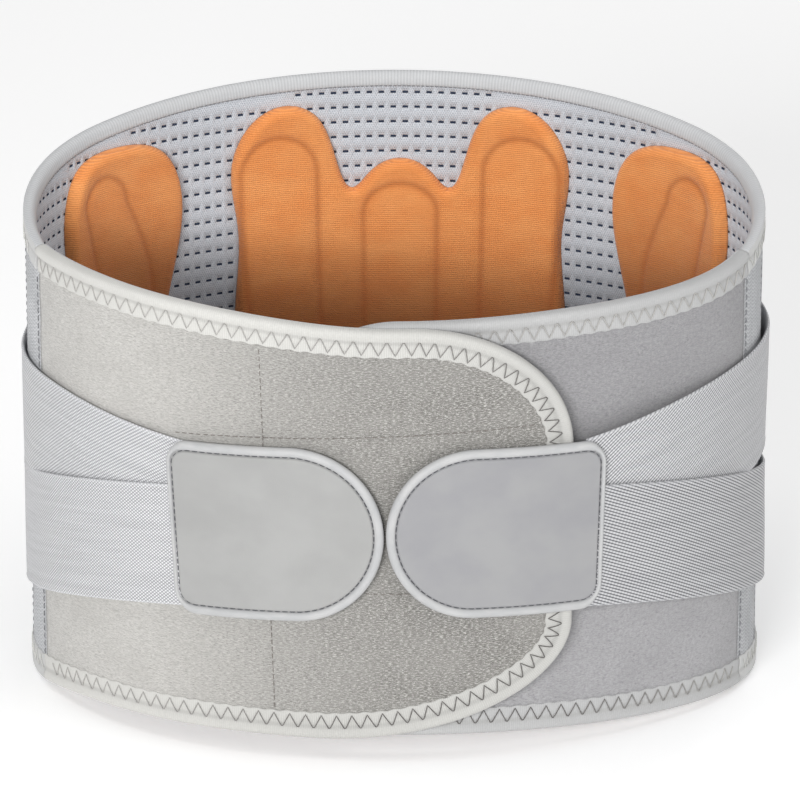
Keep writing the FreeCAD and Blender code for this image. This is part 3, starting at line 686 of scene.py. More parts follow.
CLOTHS = {
    # The outer flap's binding carries painted shade round its free end.
    "binding": binding_material("binding_knit", (211, 210, 206), (200, 199, 195), 0.85, 0.16, 0.26),
    "binding_back": binding_material("binding_back", (204, 204, 203), (192, 192, 191), 0.85, 0.16),
    # The right flap's binding is a darker copy of the binding: painted shade for the side away from the light.
    "binding_shaded": binding_material("binding_shaded", (186, 186, 186), (175, 175, 175), 0.85, 0.16),
    "binding_inside": binding_material("binding_inside", (208, 209, 210), (196, 197, 199), 1.3, 0.34),
    # outer_loop has painted shade towards the flap's free end; inner_loop has painted shade towards its top.
    "outer_loop": brushed_material(
        "outer_loop", (206, 204, 200), (192, 190, 186), 3.0, 0.9, 67, 45.0, 180.0, 0.85),
    "inner_loop": brushed_material(
        "inner_loop", (176, 175, 177), (162, 161, 163), 1.2, 1.6, 14, 50.0, 170.0, 0.5, upright=True),
    "zigzag": zigzag_material(),
    "lining": lining_material(),
    "void": void_material(),
    # The side pads carry a stronger, higher painted shade than the centre pad.
    "pad": pad_material("pad_knit", 166.0, 104.0, 0.62),
    "pad_side": pad_material("pad_side_knit", 186.0, 126.0, 0.66),
    "web_left": webbing_material("webbing_left", 50, -52, 1.0, 1.0, 0.62, 198),
    # The right straps' darker tones are painted shade, the lower strap's most; their weaves differ for real.
    "web_right_upper": webbing_material("webbing_right_upper", 58, -40, 1.2, 0.5, 0.9, 178),
    "web_right_lower": webbing_material("webbing_right_lower", 108, 20, 1.25, 0.55, 0.95, 168),
    "skin_left": skin_material("tab_skin_left", (161, 161, 160), (154, 154, 153)),
    # The right tab's skin is a darker copy of the left's: painted shade.
    "skin_right": skin_material("tab_skin_right_shaded", (152, 152, 153), (144, 144, 147)),
    "piping": piping_material(),
    "dark_thread": thread_material("dark_thread", (104, 105, 110), (62, 63, 68)),
    "grey_thread": thread_material("grey_thread", (150, 151, 154), (104, 105, 108)),
    "brown_thread": thread_material("brown_thread", (142, 136, 130), (92, 86, 82)),
    "pale_thread": thread_material("pale_thread", (226, 226, 222), (176, 176, 172)),
    "gusset": gusset_material(),
    "back_mesh": back_mesh_material(),
    "tape": tape_material(),
    "hook": hook_material(),
    "foam": foam_material(),
    "insert": insert_material(),
    "steel": steel_material(),
}


# ---- Mesh making --------------------------------------------------------------------------

def make(name, points, faces, flat, materials, face_material=None, face_flat=None):
    """Closed mesh from points in millimetres, with its flat layout as the UV map."""
    mesh = bpy.data.meshes.new(name)
    mesh.from_pydata((np.asarray(points, float).reshape(-1, 3) / 1000).tolist(), [], faces)
    if face_material is not None:
        mesh.polygons.foreach_set("material_index", np.asarray(face_material, np.int32))
    smooth = np.ones(len(faces), bool) if face_flat is None else ~np.asarray(face_flat, bool)
    mesh.polygons.foreach_set("use_smooth", smooth)
    layer = mesh.uv_layers.new(name="flat")
    corner = np.zeros(len(mesh.loops), np.int32)
    mesh.loops.foreach_get("vertex_index", corner)
    layer.data.foreach_set("uv", np.asarray(flat, np.float32).reshape(-1, 2)[corner].ravel())
    for material in materials:
        mesh.materials.append(CLOTHS[material].material)
    body = bmesh.new()
    body.from_mesh(mesh)
    bmesh.ops.recalc_face_normals(body, faces=body.faces)
    body.to_mesh(mesh)
    body.free()
    piece = bpy.data.objects.new(name, mesh)
    bpy.context.scene.collection.objects.link(piece)
    return piece


def tube_faces(stations, around, closed=False):
    """Faces of a tube of stations x around points, with flat ends unless it is closed."""
    faces = []
    for i in range(stations if closed else stations - 1):
        here, there = i * around, ((i + 1) % stations) * around
        for j in range(around):
            k = (j + 1) % around
            faces.append((here + j, here + k, there + k, there + j))
    if not closed:
        faces.append(tuple(range(around)))
        faces.append(tuple(range((stations - 1) * around, stations * around))[::-1])
    return faces


def flat_ends(faces):
    return [False] * (len(faces) - 2) + [True, True]


def thread_tubes(name, lines, normals, radius, material, sides=6, ends_dip=0.0):
    """Round threads along lines of points, each with the normals of the cloth under it."""
    points, faces, flat = [], [], []
    turn = np.linspace(0, 2 * math.pi, sides, endpoint=False)
    for line, normal in zip(lines, normals):
        along = unit(np.gradient(line, axis=0))
        side = unit(np.cross(along, normal))
        up = np.cross(side, along)
        dip = ends_dip * (2 * np.linspace(0, 1, len(line)) - 1) ** 4
        centre = line - normal * dip[:, None]
        ring = side[:, None] * np.cos(turn)[None, :, None] + up[:, None] * np.sin(turn)[None, :, None]
        base = sum(len(p) for p in points)
        points.append((centre[:, None] + ring * radius).reshape(-1, 3))
        flat.append(grid_of(run_of(line), turn * radius))
        faces += [tuple(base + v for v in face) for face in tube_faces(len(line), sides)]
    return make(name, np.vstack(points), faces, np.vstack(flat), [material])


def shell(name, path, s, rows, heights, inner, outer, material, relief=None):
    """Closed sheet between two offsets over columns s and rows of points between two heights."""
    low, high = heights
    s_grid, v_grid = np.meshgrid(s, np.linspace(0, 1, rows), indexing="ij")
    z = low[:, None] + (high - low)[:, None] * v_grid
    bulge = relief(s_grid, z) if relief else 0.0
    points = np.stack([path.place(s_grid, z, outer + bulge), path.place(s_grid, z, inner)])
    flat = np.stack([beside(s_grid, z)] * 2)
    count = s_grid.size
    at = np.arange(count).reshape(s_grid.shape).tolist()
    faces = []
    for here, there in zip(at, at[1:]):
        for j in range(rows - 1):
            quad = (here[j], there[j], there[j + 1], here[j + 1])
            faces += [quad, tuple(q + count for q in quad[::-1])]
    rim = [row[0] for row in at] + at[-1][1:] + [row[-1] for row in at[::-1]][1:] + at[0][::-1][1:-1]
    faces += [(b, a, a + count, b + count) for a, b in zip(rim, rim[1:] + rim[:1])]
    return make(name, points, faces, flat, [material])


def settle(piece, slot_name, side_name=None, *nodes):
    """Gives a piece its body and hides the CAD nodes it stands for; slot_name is not used.

    A flap's piece, named by its side, gets no body: only its placement is baked into its points."""
    if side_name in SIDES:
        path, body = (OUTER, "outer_flap") if side_name == "left" else (INNER, "inner_flap")
        start, end = (Vector(path.place(s, ANY_HEIGHT, WALL) / 1000) for s in (0.0, FLAP_BEND))
        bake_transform(piece)
    else:
        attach(piece, side_name or "back")
    if nodes:
        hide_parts(*nodes)
    return piece


def stitch_spots(line, first, pitch, length):
    """Five points along each of the separate stitches on a line."""
    line = np.asarray(line, float)
    run = run_of(line)
    for start in np.arange(first, run[-1] - length, pitch):
        yield sample(np.linspace(start, start + length, 5), run, line)


def seam_stitches(name, path, line, offset, side_name, material, slot_name, pitch=3.2, length=2.2, radius=0.2):
    """Run of separate stitches along a line drawn in the flat (s, z)."""
    lines, normals = [], []
    for spots in stitch_spots(line, 0.4, pitch, length):
        lines.append(path.place(spots[:, 0], spots[:, 1], offset))
        normals.append(path.out(spots[:, 0]) * (1 if offset > WALL / 2 else -1))
    piece = thread_tubes(name, lines, normals, radius, material, sides=5, ends_dip=radius * 1.6)
    return settle(piece, slot_name, side_name)


# ---- Bindings -----------------------------------------------------------------------------

# Sections are (depth from the free edge, offset). The inside takes over at the fold's top.
BINDING_OUTSIDE = [
    (11.0, 3.3), (11.0, 3.95), (10.7, 4.12), (9.6, 4.22), (8.3, 4.24), (7.0, 4.14), (6.1, 4.0), (5.4, 3.98),
    (4.7, 4.22), (3.9, 4.66), (3.1, 4.98), (2.3, 5.1), (1.5, 5.0), (0.8, 4.5), (0.3, 3.7), (0.0, 2.4),
]
FLAP_BINDING_INSIDE = [
    (0.1, 1.0), (0.5, -0.1), (1.2, -0.7), (2.2, -0.95), (3.5, -0.9), (4.6, -0.8), (5.4, -0.72), (5.8, -0.4),
    (5.8, 0.1),
]
BACK_BINDING_INSIDE = [
    (0.15, 1.7), (0.5, 1.0), (1.1, 0.35), (1.9, -0.15), (2.9, -0.48), (4.2, -0.68), (5.4, -0.75), (5.8, -0.4),
    (5.8, 0.1),
]
BACK_ROLL_OFFSET, FOLD_TOP = 4.4, 3
ROLL_DEPTH, BAND_DEPTH = 2.2, 8.0
ZIGZAG_PITCH, ZIGZAG_NEAR, ZIGZAG_FAR, ZIGZAG_OFFSET, ZIGZAG_RADIUS = 6.15, 4.9, 10.1, 4.22, 0.2
LEG_STEPS = np.arange(6) / 6
ZIGZAG_THREAD = {"left": "zigzag", "right": "zigzag", None: "pale_thread"}
BINDING_CLOTH = {"left": "binding", "right": "binding_shaded", None: "binding_back"}


def binding(name, panel, which, side_name, node):
    """The folded binding along a panel's free edge: a soft roll and a flat zigzagged band."""
    edge, inward = panel.edge(which)
    run = run_of(edge)
    is_back = panel.end_x is None
    section = np.array(BINDING_OUTSIDE + (BACK_BINDING_INSIDE if is_back else FLAP_BINDING_INSIDE))
    if is_back:
        section[:, 1] = np.minimum(section[:, 1], BACK_ROLL_OFFSET)
    depth, offset = section.T
    count, around = len(edge), len(section)
    a, o = np.tile(depth, (count, 1)), np.tile(offset, (count, 1))
    scallop = 0.24 * np.cos(2 * math.pi * run / ZIGZAG_PITCH) + 0.12 * ripple(run, 0 * run, 9, 5)
    a[:, :3] += scallop[:, None]
    teeth = 0.16 * np.cos(2 * math.pi * (run / ZIGZAG_PITCH - 0.3))
    o += teeth[:, None] * hump(depth, BAND_DEPTH, 2.0) * (offset > 3)
    pucker = np.cos(2 * math.pi * (run / ZIGZAG_PITCH * 2))
    swell = 0.07 * pucker + 0.12 * ripple(run, 0 * run, 30, 8)
    o += swell[:, None] * (hump(depth, ROLL_DEPTH, 1.6) * (offset > 3))
    points = panel.path.place(edge[:, :1] + a * inward[:, :1], edge[:, 1:] + a * inward[:, 1:], o)
    faces = tube_faces(count, around)
    grey_from = len(BINDING_OUTSIDE) - (FOLD_TOP if is_back else 0)
    kinds = [int(j >= grey_from) for _ in range(count - 1) for j in range(around)] + [0, 0]
    piece = make(name, points, faces, grid_of(run, run_of(section)),
                 [BINDING_CLOTH[side_name], "binding_inside"], kinds, flat_ends(faces))
    settle(piece, "binding", side_name, node)

    corners = []
    for at in np.arange(2.0, run[-1] - ZIGZAG_PITCH, ZIGZAG_PITCH):
        corners += [(at - 0.35, ZIGZAG_NEAR), (at + 0.35, ZIGZAG_NEAR), (at + 0.5 * ZIGZAG_PITCH, ZIGZAG_FAR)]
    corners = np.array(corners)
    legs = np.array([
        (t0 + (t1 - t0) * f, a0 + (a1 - a0) * f, 0.22 * (1 - (2 * f - 1) ** 4))
        for (t0, a0), (t1, a1) in zip(corners, corners[1:]) for f in LEG_STEPS])
    spots = sample(legs[:, 0], run, edge) + legs[:, 1:2] * sample(legs[:, 0], run, inward)
    line = panel.path.place(spots[:, 0], spots[:, 1], ZIGZAG_OFFSET + legs[:, 2])
    thread = thread_tubes(
        name + "_zigzag", [line], [panel.path.out(spots[:, 0])], ZIGZAG_RADIUS, ZIGZAG_THREAD[side_name])
    settle(thread, "binding", side_name)
    seam_stitches(name + "_seam", panel.path, edge + inward * 5.9, -0.5, side_name, "grey_thread", "binding",
                  pitch=1.9, length=1.4)


binding("back_binding_top_cloth", BACK_PANEL, "top", None, "back_binding_top")
binding("back_binding_bottom_cloth", BACK_PANEL, "bottom", None, "back_binding_bottom")
binding("outer_flap_binding_cloth", OUTER_PANEL, "free", "left", "outer_flap_binding")
binding("inner_flap_binding_cloth", INNER_PANEL, "free", "right", "inner_flap_binding")


# ---- Lining -------------------------------------------------------------------------------

DASH_PITCH, ROW_PITCH, ROW_START, ROW_MARGIN = 4.9, 6.3, 1.5, 0.6
DASH = np.array([
    (-1.2, -0.3), (-0.98, -0.48), (0.98, -0.48), (1.2, -0.3),
    (1.08, 0.4), (0.88, 0.48), (-0.88, 0.48), (-1.08, 0.4)])
WELL_SHARE, WELL_DEPTH = 0.85, 0.6


def lining(name, panel, side_name, node):
    """Spacer-mesh lining with a real recess at every dash."""
    stop = panel.stop - (LINING_INSET if panel.end_x is not None else 0.0)
    count = int(round(stop / DASH_PITCH))
    s_lines = np.linspace(0.0, stop, count + 1)
    pitch = s_lines[1] - s_lines[0]
    low, high = panel.limits(s_lines, LINING_INSET)
    points, faces, kinds = [], [], []

    def add(s, z, offset=0.0):
        points.append((s, z, offset))
        return len(points) - 1

    def face(corners, kind=0):
        faces.append(tuple(corners))
        kinds.append(kind)

    lines = []
    for s, bottom, top in zip(s_lines, low, high):
        first = math.ceil((bottom + ROW_MARGIN - ROW_START) / ROW_PITCH)
        last = math.floor((top - ROW_MARGIN - ROW_START) / ROW_PITCH)
        rows = {k: add(s, ROW_START + k * ROW_PITCH) for k in range(first, last + 1)}
        lines.append((add(s, bottom), rows, add(s, top), add(s, bottom, LAYER), add(s, top, LAYER)))

    for j in range(count):
        left_low, left, left_high, left_low_back, left_high_back = lines[j]
        right_low, right, right_high, right_low_back, right_high_back = lines[j + 1]
        common = sorted(set(left) & set(right))
        first, last = common[0], common[-1]
        middle = (s_lines[j] + s_lines[j + 1]) / 2
        for k in range(first, last):
            centre = ROW_START + (k + 0.5) * ROW_PITCH
            rim = [add(middle + x, centre + y) for x, y in DASH]
            well = [add(middle + x, centre + y, WELL_DEPTH) for x, y in DASH * WELL_SHARE]
            corners = left[k], right[k], right[k + 1], left[k + 1]
            for q in range(4):
                here, there, between = corners[q], corners[(q + 1) % 4], rim[(2 * q + 2) % 8]
                face((here, there, between, rim[2 * q + 1]))
                face((there, rim[(2 * q + 3) % 8], between))
            for m in range(8):
                n = (m + 1) % 8
                face((rim[m], rim[n], well[n], well[m]), 1)
            face(well, 1)
        below_left, below_right = ([side[k] for k in sorted(side) if k < first] for side in (left, right))
        face([left_low, right_low, *below_right, right[first], left[first], *below_left[::-1]])
        above_left, above_right = ([side[k] for k in sorted(side) if k > last] for side in (left, right))
        face([left[last], right[last], *above_right, right_high, left_high, *above_left[::-1]])
        face((left_low_back, left_high_back, right_high_back, right_low_back))
        face((left_low, left_low_back, right_low_back, right_low))
        face((left_high, right_high, right_high_back, left_high_back))
    for way, (bottom, rows, top, bottom_back, top_back) in ((1, lines[0]), (-1, lines[-1])):
        face([bottom, *[rows[k] for k in sorted(rows)], top, top_back, bottom_back][::way])
    s, z, offset = np.array(points).T
    flat = beside(s / pitch * DASH_PITCH + DASH_PITCH / 2, z)
    piece = make(name, panel.path.place(s, z, offset), faces, flat, ["lining", "void"], kinds, kinds)
    settle(piece, "mesh_lining", side_name, node)


lining("back_lining_cloth", BACK_PANEL, None, "back_lining")
lining("outer_flap_lining_cloth", OUTER_PANEL, "left", "outer_flap_lining")
lining("inner_flap_lining_cloth", INNER_PANEL, "right", "inner_flap_lining")


# ---- Outer skins --------------------------------------------------------------------------

def skin(name, panel, s, material, slot_name, side_name, nodes, relief, rows=64):
    """One panel of outer cloth, made as a closed sheet with its flat layout as the UV map."""
    heights = panel.limits(s, SKIN_INSET)
    piece = shell(name, panel.path, s, rows, heights, LAYER, WALL, material, relief)
    settle(piece, slot_name, side_name, *nodes)


UPPER_ROW = cubic([(-110, 125.5), (-84, 128.5), (-40, 132.0), (0, 134.2), (40, 135.8), (70, 136.6)])
LOWER_ROW_Z = 69.6
ROW_X = np.linspace(-110.0, 70.0, 60)
ROW_S = np.array([float(OUTER.s_at_x(x)) for x in ROW_X])
UPRIGHT_SEAM_S = float(OUTER.s_at_x(-48.5))
UPRIGHT_LEAN, UPRIGHT_MIDDLE_Z = -0.036, 92.0


def upright_s(z):
    """The upright sewn line leans a little."""
    return UPRIGHT_SEAM_S + UPRIGHT_LEAN * (z - UPRIGHT_MIDDLE_Z)


def outer_relief(s, z):
    """Soft puckers, and the dents along the sewn lines."""
    calm = 0.16 * ripple(s, z, 24, 3) + 0.08 * ripple(s, z, 9, 4)
    rows = hump(z, UPPER_ROW(np.interp(s, ROW_S, ROW_X)), 1.8) + hump(z, LOWER_ROW_Z, 1.8)
    return calm - 0.38 * hump(s, upright_s(z), 1.6) - 0.34 * rows


def flap_columns(panel):
    """Columns of a flap, closer together round its end."""
    corner = panel.corner_start(panel.corners[0][0])[1]
    bow = corner + (panel.stop - SKIN_INSET - corner) * np.sin(np.linspace(0, math.pi / 2, 34))
    return np.concatenate([np.linspace(0.0, corner, 80), bow[1:]])


columns = flap_columns(OUTER_PANEL)
near_seam = UPRIGHT_SEAM_S + np.arange(-6, 7)
columns = np.sort(np.concatenate([columns[np.abs(columns - UPRIGHT_SEAM_S) > 6.6], near_seam]))
skin("outer_flap_face_cloth", OUTER_PANEL, columns, "outer_loop", "brushed_loop", "left",
     ["outer_flap_face", "outer_flap_core"], outer_relief, rows=110)
skin("inner_flap_face_cloth", INNER_PANEL, flap_columns(INNER_PANEL), "inner_loop", "brushed_loop", "right",
     ["inner_flap_face", "inner_flap_core"], lambda s, z: 0.16 * ripple(s, z, 22, 13), rows=70)
columns = np.linspace(GUSSET_RUN, BACK.length - GUSSET_RUN, 150)
skin("back_shell_cloth", BACK_PANEL, columns, "back_mesh", "back_mesh", None,
     ["back_shell", "back_core"], lambda s, z: 0.14 * ripple(s, z, 26, 23))


def gusset_relief(s, z):
    return 0.25 * np.cos(2 * math.pi * s / 2.2) + 0.1 * ripple(s, z, 12, 31)


for side_name, start in (("right", 0.0), ("left", BACK.length - GUSSET_RUN)):
    columns = np.linspace(start, start + GUSSET_RUN, 75)
    skin(side_name + "_gusset_cloth", BACK_PANEL, columns, "gusset", "gusset_elastic", None,
         [side_name + "_gusset"], gusset_relief, rows=40)
    for edge_s in (start + 1.6, start + GUSSET_RUN - 1.6):
        low, high = BACK_PANEL.limits(np.array([edge_s]), 11.0)
        line = [(edge_s, low[0]), (edge_s, high[0])]
        name = "%s_gusset_seam_%d" % (side_name, round(edge_s))
        seam_stitches(name, BACK, line, WALL + 0.3, None, "grey_thread", "gusset_elastic")


# ---- Sewn lines on the outer flap ---------------------------------------------------------

low, high = OUTER_PANEL.limits(np.array([UPRIGHT_SEAM_S]), 11.5)
upright = np.linspace(low[0], high[0], 40)
seam_stitches("outer_flap_upright_seam", OUTER, beside(upright_s(upright), upright), WALL - 0.22, "left",
              "brown_thread", "brushed_loop", pitch=2.9, length=2.0, radius=0.17)
sewn = np.linspace(-84.0, 54.0, 60)
sewn_s = np.interp(sewn, ROW_X, ROW_S)
for name, heights in (("upper", UPPER_ROW(sewn)), ("lower", np.full(60, LOWER_ROW_Z))):
    seam_stitches("outer_flap_%s_row" % name, OUTER, beside(sewn_s, heights), WALL - 0.15, "left",
                  "brown_thread", "brushed_loop", pitch=3.0, radius=0.19)


# ---- Patches meshed from an outline -------------------------------------------------------

def inside(points, loop):
    """Which points lie inside a closed loop."""
    result = np.zeros(len(points), bool)
    for (x0, y0), (x1, y1) in zip(loop, np.roll(loop, -1, axis=0)):
        if y0 == y1:
            continue
        crosses = (y0 > points[:, 1]) != (y1 > points[:, 1])
        at = x0 + (points[:, 1] - y0) / (y1 - y0) * (x1 - x0)
        result ^= crosses & (points[:, 0] < at)
    return result


def away_from(points, line):
    """Distance of points from the nearest point of a fine line."""
    parts = [points[start:start + 2000] for start in range(0, len(points), 2000)]
    return np.concatenate([np.sqrt(((part[:, None] - line[None]) ** 2).sum(-1)).min(1) for part in parts])


def inward_normals(loop):
    tangent = unit(np.roll(loop, -1, axis=0) - np.roll(loop, 1, axis=0))
    area = np.sum(loop[:, 0] * np.roll(loop[:, 1], -1) - loop[:, 1] * np.roll(loop[:, 0], -1))
    normal = beside(-tangent[:, 1], tangent[:, 0])
    return normal if area > 0 else -normal


def patch_mesh(loop, rings, creases, step):
    """Points and triangles over an outline, finer at its edge and along creases."""
    normal = inward_normals(loop)
    fixed = [loop]
    for depth in rings:
        ring = loop + normal * depth
        fixed.append(ring[away_from(ring, loop) > depth * 0.93])
    for crease in creases:
        tangent = unit(np.gradient(crease, axis=0))
        side = beside(-tangent[:, 1], tangent[:, 0])
        fixed += [crease + side * shift for shift in (-1.9, -0.9, 0, 0.9, 1.9)]
    x = np.arange(loop[:, 0].min(), loop[:, 0].max(), step)
    y = np.arange(loop[:, 1].min(), loop[:, 1].max(), step * 0.866)
    grid = beside(*np.meshgrid(x, y, indexing="ij"))
    grid[:, 1::2, 0] += step / 2
    grid = grid.reshape(-1, 2)
    grid = grid[inside(grid, loop)]
    grid = grid[away_from(grid, np.vstack(fixed)) > step * 0.6]
    points = np.vstack(fixed + [grid])
    free = np.arange(len(points)) >= len(loop)
    points = points[~free | (inside(points, loop) & (away_from(points, loop) > 0.25))]
    order = list(range(len(loop)))
    spots, _, triangles, *_ = delaunay_2d_cdt([Vector(p) for p in points], [], [order], 1, 1e-4)
    return np.array([tuple(p) for p in spots]), [tuple(t) for t in triangles]


def rim_edges(triangles):
    """The outline edges of a triangle mesh, each as (from, to)."""
    edges = {edge: True for t in triangles for edge in zip(t, t[1:] + t[:1])}
    return [(a, b) for a, b in edges if (b, a) not in edges]


def depth_inside(spots, triangles, fine_loop):
    """How far each point of a patch lies inside its outline."""
    depth = away_from(spots, fine_loop)
    depth[np.unique(np.array(rim_edges(triangles)).ravel())] = 0
    return depth


def slab(name, spots, triangles, top, bottom, material):
    """Closed body from a meshed outline: a shaped top, a flat back and walls between them."""
    count = len(spots)
    faces = list(triangles) + [tuple(count + v for v in t[::-1]) for t in triangles]
    faces += [(b, a, count + a, count + b) for a, b in rim_edges(triangles)]
    return make(name, np.vstack([top, bottom]), faces, np.vstack([spots, spots]), [material])


# ---- Pads ---------------------------------------------------------------------------------

# Right half of each outline, from the middle of its top, and the height of its bottom middle.
CENTRE_PAD_OUTLINE = [
    (0, 178.5), (12.5, 173), (20, 166), (26.5, 180), (35, 198), (47, 202.5), (60, 197), (69.5, 178),
    (67, 150), (68.5, 118), (66.5, 80), (56, 46), (34, 29),
], 25
SIDE_PAD_OUTLINE = [(0, 196), (22.4, 190.4), (31, 168), (25.5, 135), (17.5, 102), (9.5, 84)], 79.5
# Contour lines: the height of the top, then (height, middle, half width) stations.
CENTRE_SIDE_ARCH = 190.0, [(174.0, 51.0, 16.0), (140.0, 50.0, 15.6), (100.0, 48.0, 14.6), (62.0, 46.5, 13.4)]
CENTRE_MIDDLE_ARCH = 168.5, [(156.0, 0.0, 15.6), (110.0, 0.0, 15.2), (62.0, 0.0, 14.4)]
SIDE_PAD_ARCH = 186.0, [(174.0, 10.3, 11.8), (149.0, 2.0, 13.8), (122.0, -1.6, 11.6), (98.0, -1.0, 6.5)]
ROLLED_EDGE, CREASE_DEPTH, FIELD_RISE = 3.4, 0.42, 0.25
PAD_RINGS = (0.35, 0.9, 1.7, 2.7, 4.0, 5.6)


def arch(top, stations, way=1):
    """Open inverted U through stations, round at its top, mirrored when way is -1."""
    heights, middles, halves = np.array(stations, float).T
    middles = way * middles
    turn = np.linspace(math.pi, 0, 40)
    over = beside(middles[0] + halves[0] * np.cos(turn), heights[0] + (top - heights[0]) * np.sin(turn))
    down = np.linspace(heights[0], heights[-1], 60)[1:]
    middle, half = (cubic(beside(heights[::-1], column[::-1]))(down) for column in (middles, halves))
    return even(np.vstack([beside(middle - half, down)[::-1], over, beside(middle + half, down)]), 1.4)


def pad(node, outline, creases, material, middle_x):
    """A soft pad on the lining, with a rolled edge and sunk contour lines."""
    half, bottom = np.array(outline[0], float), outline[1]
    outline = np.vstack([half, [(0, bottom)], (half[1:] * (-1, 1))[::-1]])
    loop, fine = closed_curve(outline, 1.5), closed_curve(outline, 0.4)
    loop, fine = loop + inward_normals(loop) * 0.5, fine + inward_normals(fine) * 0.5
    spots, triangles = patch_mesh(loop, PAD_RINGS, creases, 2.3)
    depth = depth_inside(spots, triangles, fine)
    rise = np.clip(depth / ROLLED_EDGE, 0, 1)
    body = 1.0 + (PAD_THICKNESS - 1.4) * np.sqrt(1 - (1 - rise) ** 2)
    # sunk marks where shade is painted: a ring at the rolled edge's step and along each contour line.
    sunk = hump(depth, 4.0, 0.9) * 0.12
    for crease in creases:
        near = away_from(spots, even(crease, 0.4))
        field = inside(spots, crease) * smoothstep(0.4, 4.0, near)
        body = body - CREASE_DEPTH * hump(near, 0, 1.3) + FIELD_RISE * field
        sunk = np.maximum(sunk, hump(near, 0, 1.4))
    body = body + 0.10 * ripple(spots[:, 0], spots[:, 1], 15, 41) * rise

    # The pad faces straight out from its middle, and each point goes where it meets the wall.
    bearing = math.acos(middle_x / (LONG_RADIUS - PAD_THICKNESS))
    centre = np.array([middle_x, (LONG_RADIUS - PAD_THICKNESS) * math.sin(bearing) - LONG_CENTRE])
    facing = np.array([math.cos(bearing), math.sin(bearing)])
    across = np.array([facing[1], -facing[0]])
    s = np.linspace(0, BACK.length, 6000)
    here = BACK.at(s)[0] - centre
    ahead = here @ facing > -60
    here, s = (here @ across)[ahead], s[ahead]
    order = np.argsort(here)
    at_s = np.interp(spots[:, 0], here[order], s[order])
    top, bottom = (BACK.place(at_s, spots[:, 1], offset) for offset in (-body, -0.05))
    piece = slab(node + "_cloth", spots, triangles, top, bottom, material)
    settle(piece, "pad_knit", None, node)
    layer = piece.data.attributes.new("sunk", "FLOAT", "POINT")
    layer.data.foreach_set("value", np.concatenate([sunk, 0 * sunk]).astype(np.float32))


centre_creases = [arch(*CENTRE_SIDE_ARCH, way=-1), arch(*CENTRE_SIDE_ARCH), arch(*CENTRE_MIDDLE_ARCH)]
pad("centre_pad", CENTRE_PAD_OUTLINE, centre_creases, "pad", PAD_PLACES["centre_pad"])
for side_name in SIDES:
    node = side_name + "_pad"
    pad(node, SIDE_PAD_OUTLINE, [arch(*SIDE_PAD_ARCH, way=WAY[side_name])], "pad_side", PAD_PLACES[node])


# ---- Straps -------------------------------------------------------------------------------

# The strap's cross-section, as (place across, height), with a bead along each edge.
STRAP_SECTION = np.array(
    [(-25.0, 0.65), (-24.75, 1.2), (-24.2, 1.42), (-23.5, 1.3)] + [(w, 1.3) for w in range(-20, 21, 5)]
    + [(23.5, 1.3), (24.2, 1.42), (24.75, 1.2), (25.0, 0.65)]
    + [(24.6, 0.05), (12, 0.0), (0, 0.0), (-12, 0.0), (-24.6, 0.05)])
HAIR, UNDERSIDE_SHIFT, END_LENGTH, TAB_TRACK_OFFSET = 0.02, 60, 16.0, 6.0
STAND_OFF = {"left": 0.2, "right": 1.2}
STRAP_FACE = UPPER_OFFSET + STRAP_THICKNESS


def tab_side_x(side_name):
    length = TAB_LENGTH[side_name] * math.cos(math.radians(TAB_TILT[side_name]))
    return TAB_MEETING_X + WAY[side_name] * (TAB_NOSE_GAP / 2 + length)


def strap_line(side_name, layer):
    """Height of a strap's middle line against depth."""
    return cubic(UPPER_LINE[side_name] if layer == "upper" else LOWER_LINE)


def strap_lift(side_name, layer, s, w):
    """Offset of a strap's underside: it rests on the wall, and stands off a little round the side."""
    path = STRAPS[side_name]
    base = np.full(s.shape, UPPER_OFFSET)
    if layer == "lower":
        base = base + (LOWER_OFFSET - UPPER_OFFSET) * smoothstep(path.seam - 10, path.seam + 14, s)
    stand = hump(s, path.starts[1] + math.radians(TANGENT - 2) * SIDE_RADIUS, 26)
    lean = smoothstep(-25, 25, w) if layer == "upper" else smoothstep(25, -25, w)
    rumple = 0.10 * ripple(s, w, 34, 51) * smoothstep(0, 20, s)
    return base + STAND_OFF[side_name] * stand * (0.35 + 0.65 * lean) + rumple


def strap_piece(name, side_name, layer, s_from, s_to, step=2.0):
    """Part of a strap between two places given per point of its width."""
    path = STRAPS[side_name]
    w, h = STRAP_SECTION.T
    s_from, s_to = np.broadcast_to(s_from, w.shape), np.broadcast_to(s_to, w.shape)
    length = float(np.mean(s_to - s_from))
    stations, hair = max(4, int(round(length / step))), HAIR / length
    u = np.concatenate([[0.0, hair], np.linspace(0, 1, stations)[1:-1], [1 - hair, 1.0]])[:, None]
    s = s_from[None] + (s_to - s_from)[None] * u
    wide = np.broadcast_to(w[None], s.shape)
    z = strap_line(side_name, layer)(path.depth(s)) + wide
    points = path.place(s, z, strap_lift(side_name, layer, s, wide) + h[None])
    faces = tube_faces(len(u), len(w))
    material = "web_left" if side_name == "left" else "web_right_" + layer
    flat = beside(s, wide + (h[None] < 0.3) * UNDERSIDE_SHIFT)
    return make(name, points, faces, flat, [material], face_flat=flat_ends(faces))


def strap_end(side_name, layer, side_s, tuck=1.8):
    """Where the strap meets its tab's straight side, per point of its width."""
    path = STRAPS[side_name]
    w = STRAP_SECTION[:, 0]
    s = np.full(len(w), side_s)
    for _ in range(4):
        up = strap_line(side_name, layer)(path.depth(s)) + w - TAB_MIDDLE[side_name]
        lean = up * math.sin(math.radians(TAB_TILT[side_name]))
        past = np.clip(np.abs(up) - TAB_HEIGHT[side_name] / 2 + TAB_CORNER, 0, TAB_CORNER - 0.5)
        corner = TAB_CORNER - np.sqrt(TAB_CORNER ** 2 - past ** 2)
        s = path.s_at_x(tab_side_x(side_name) + WAY[side_name] * (lean - tuck - corner), TAB_TRACK_OFFSET)
    return s


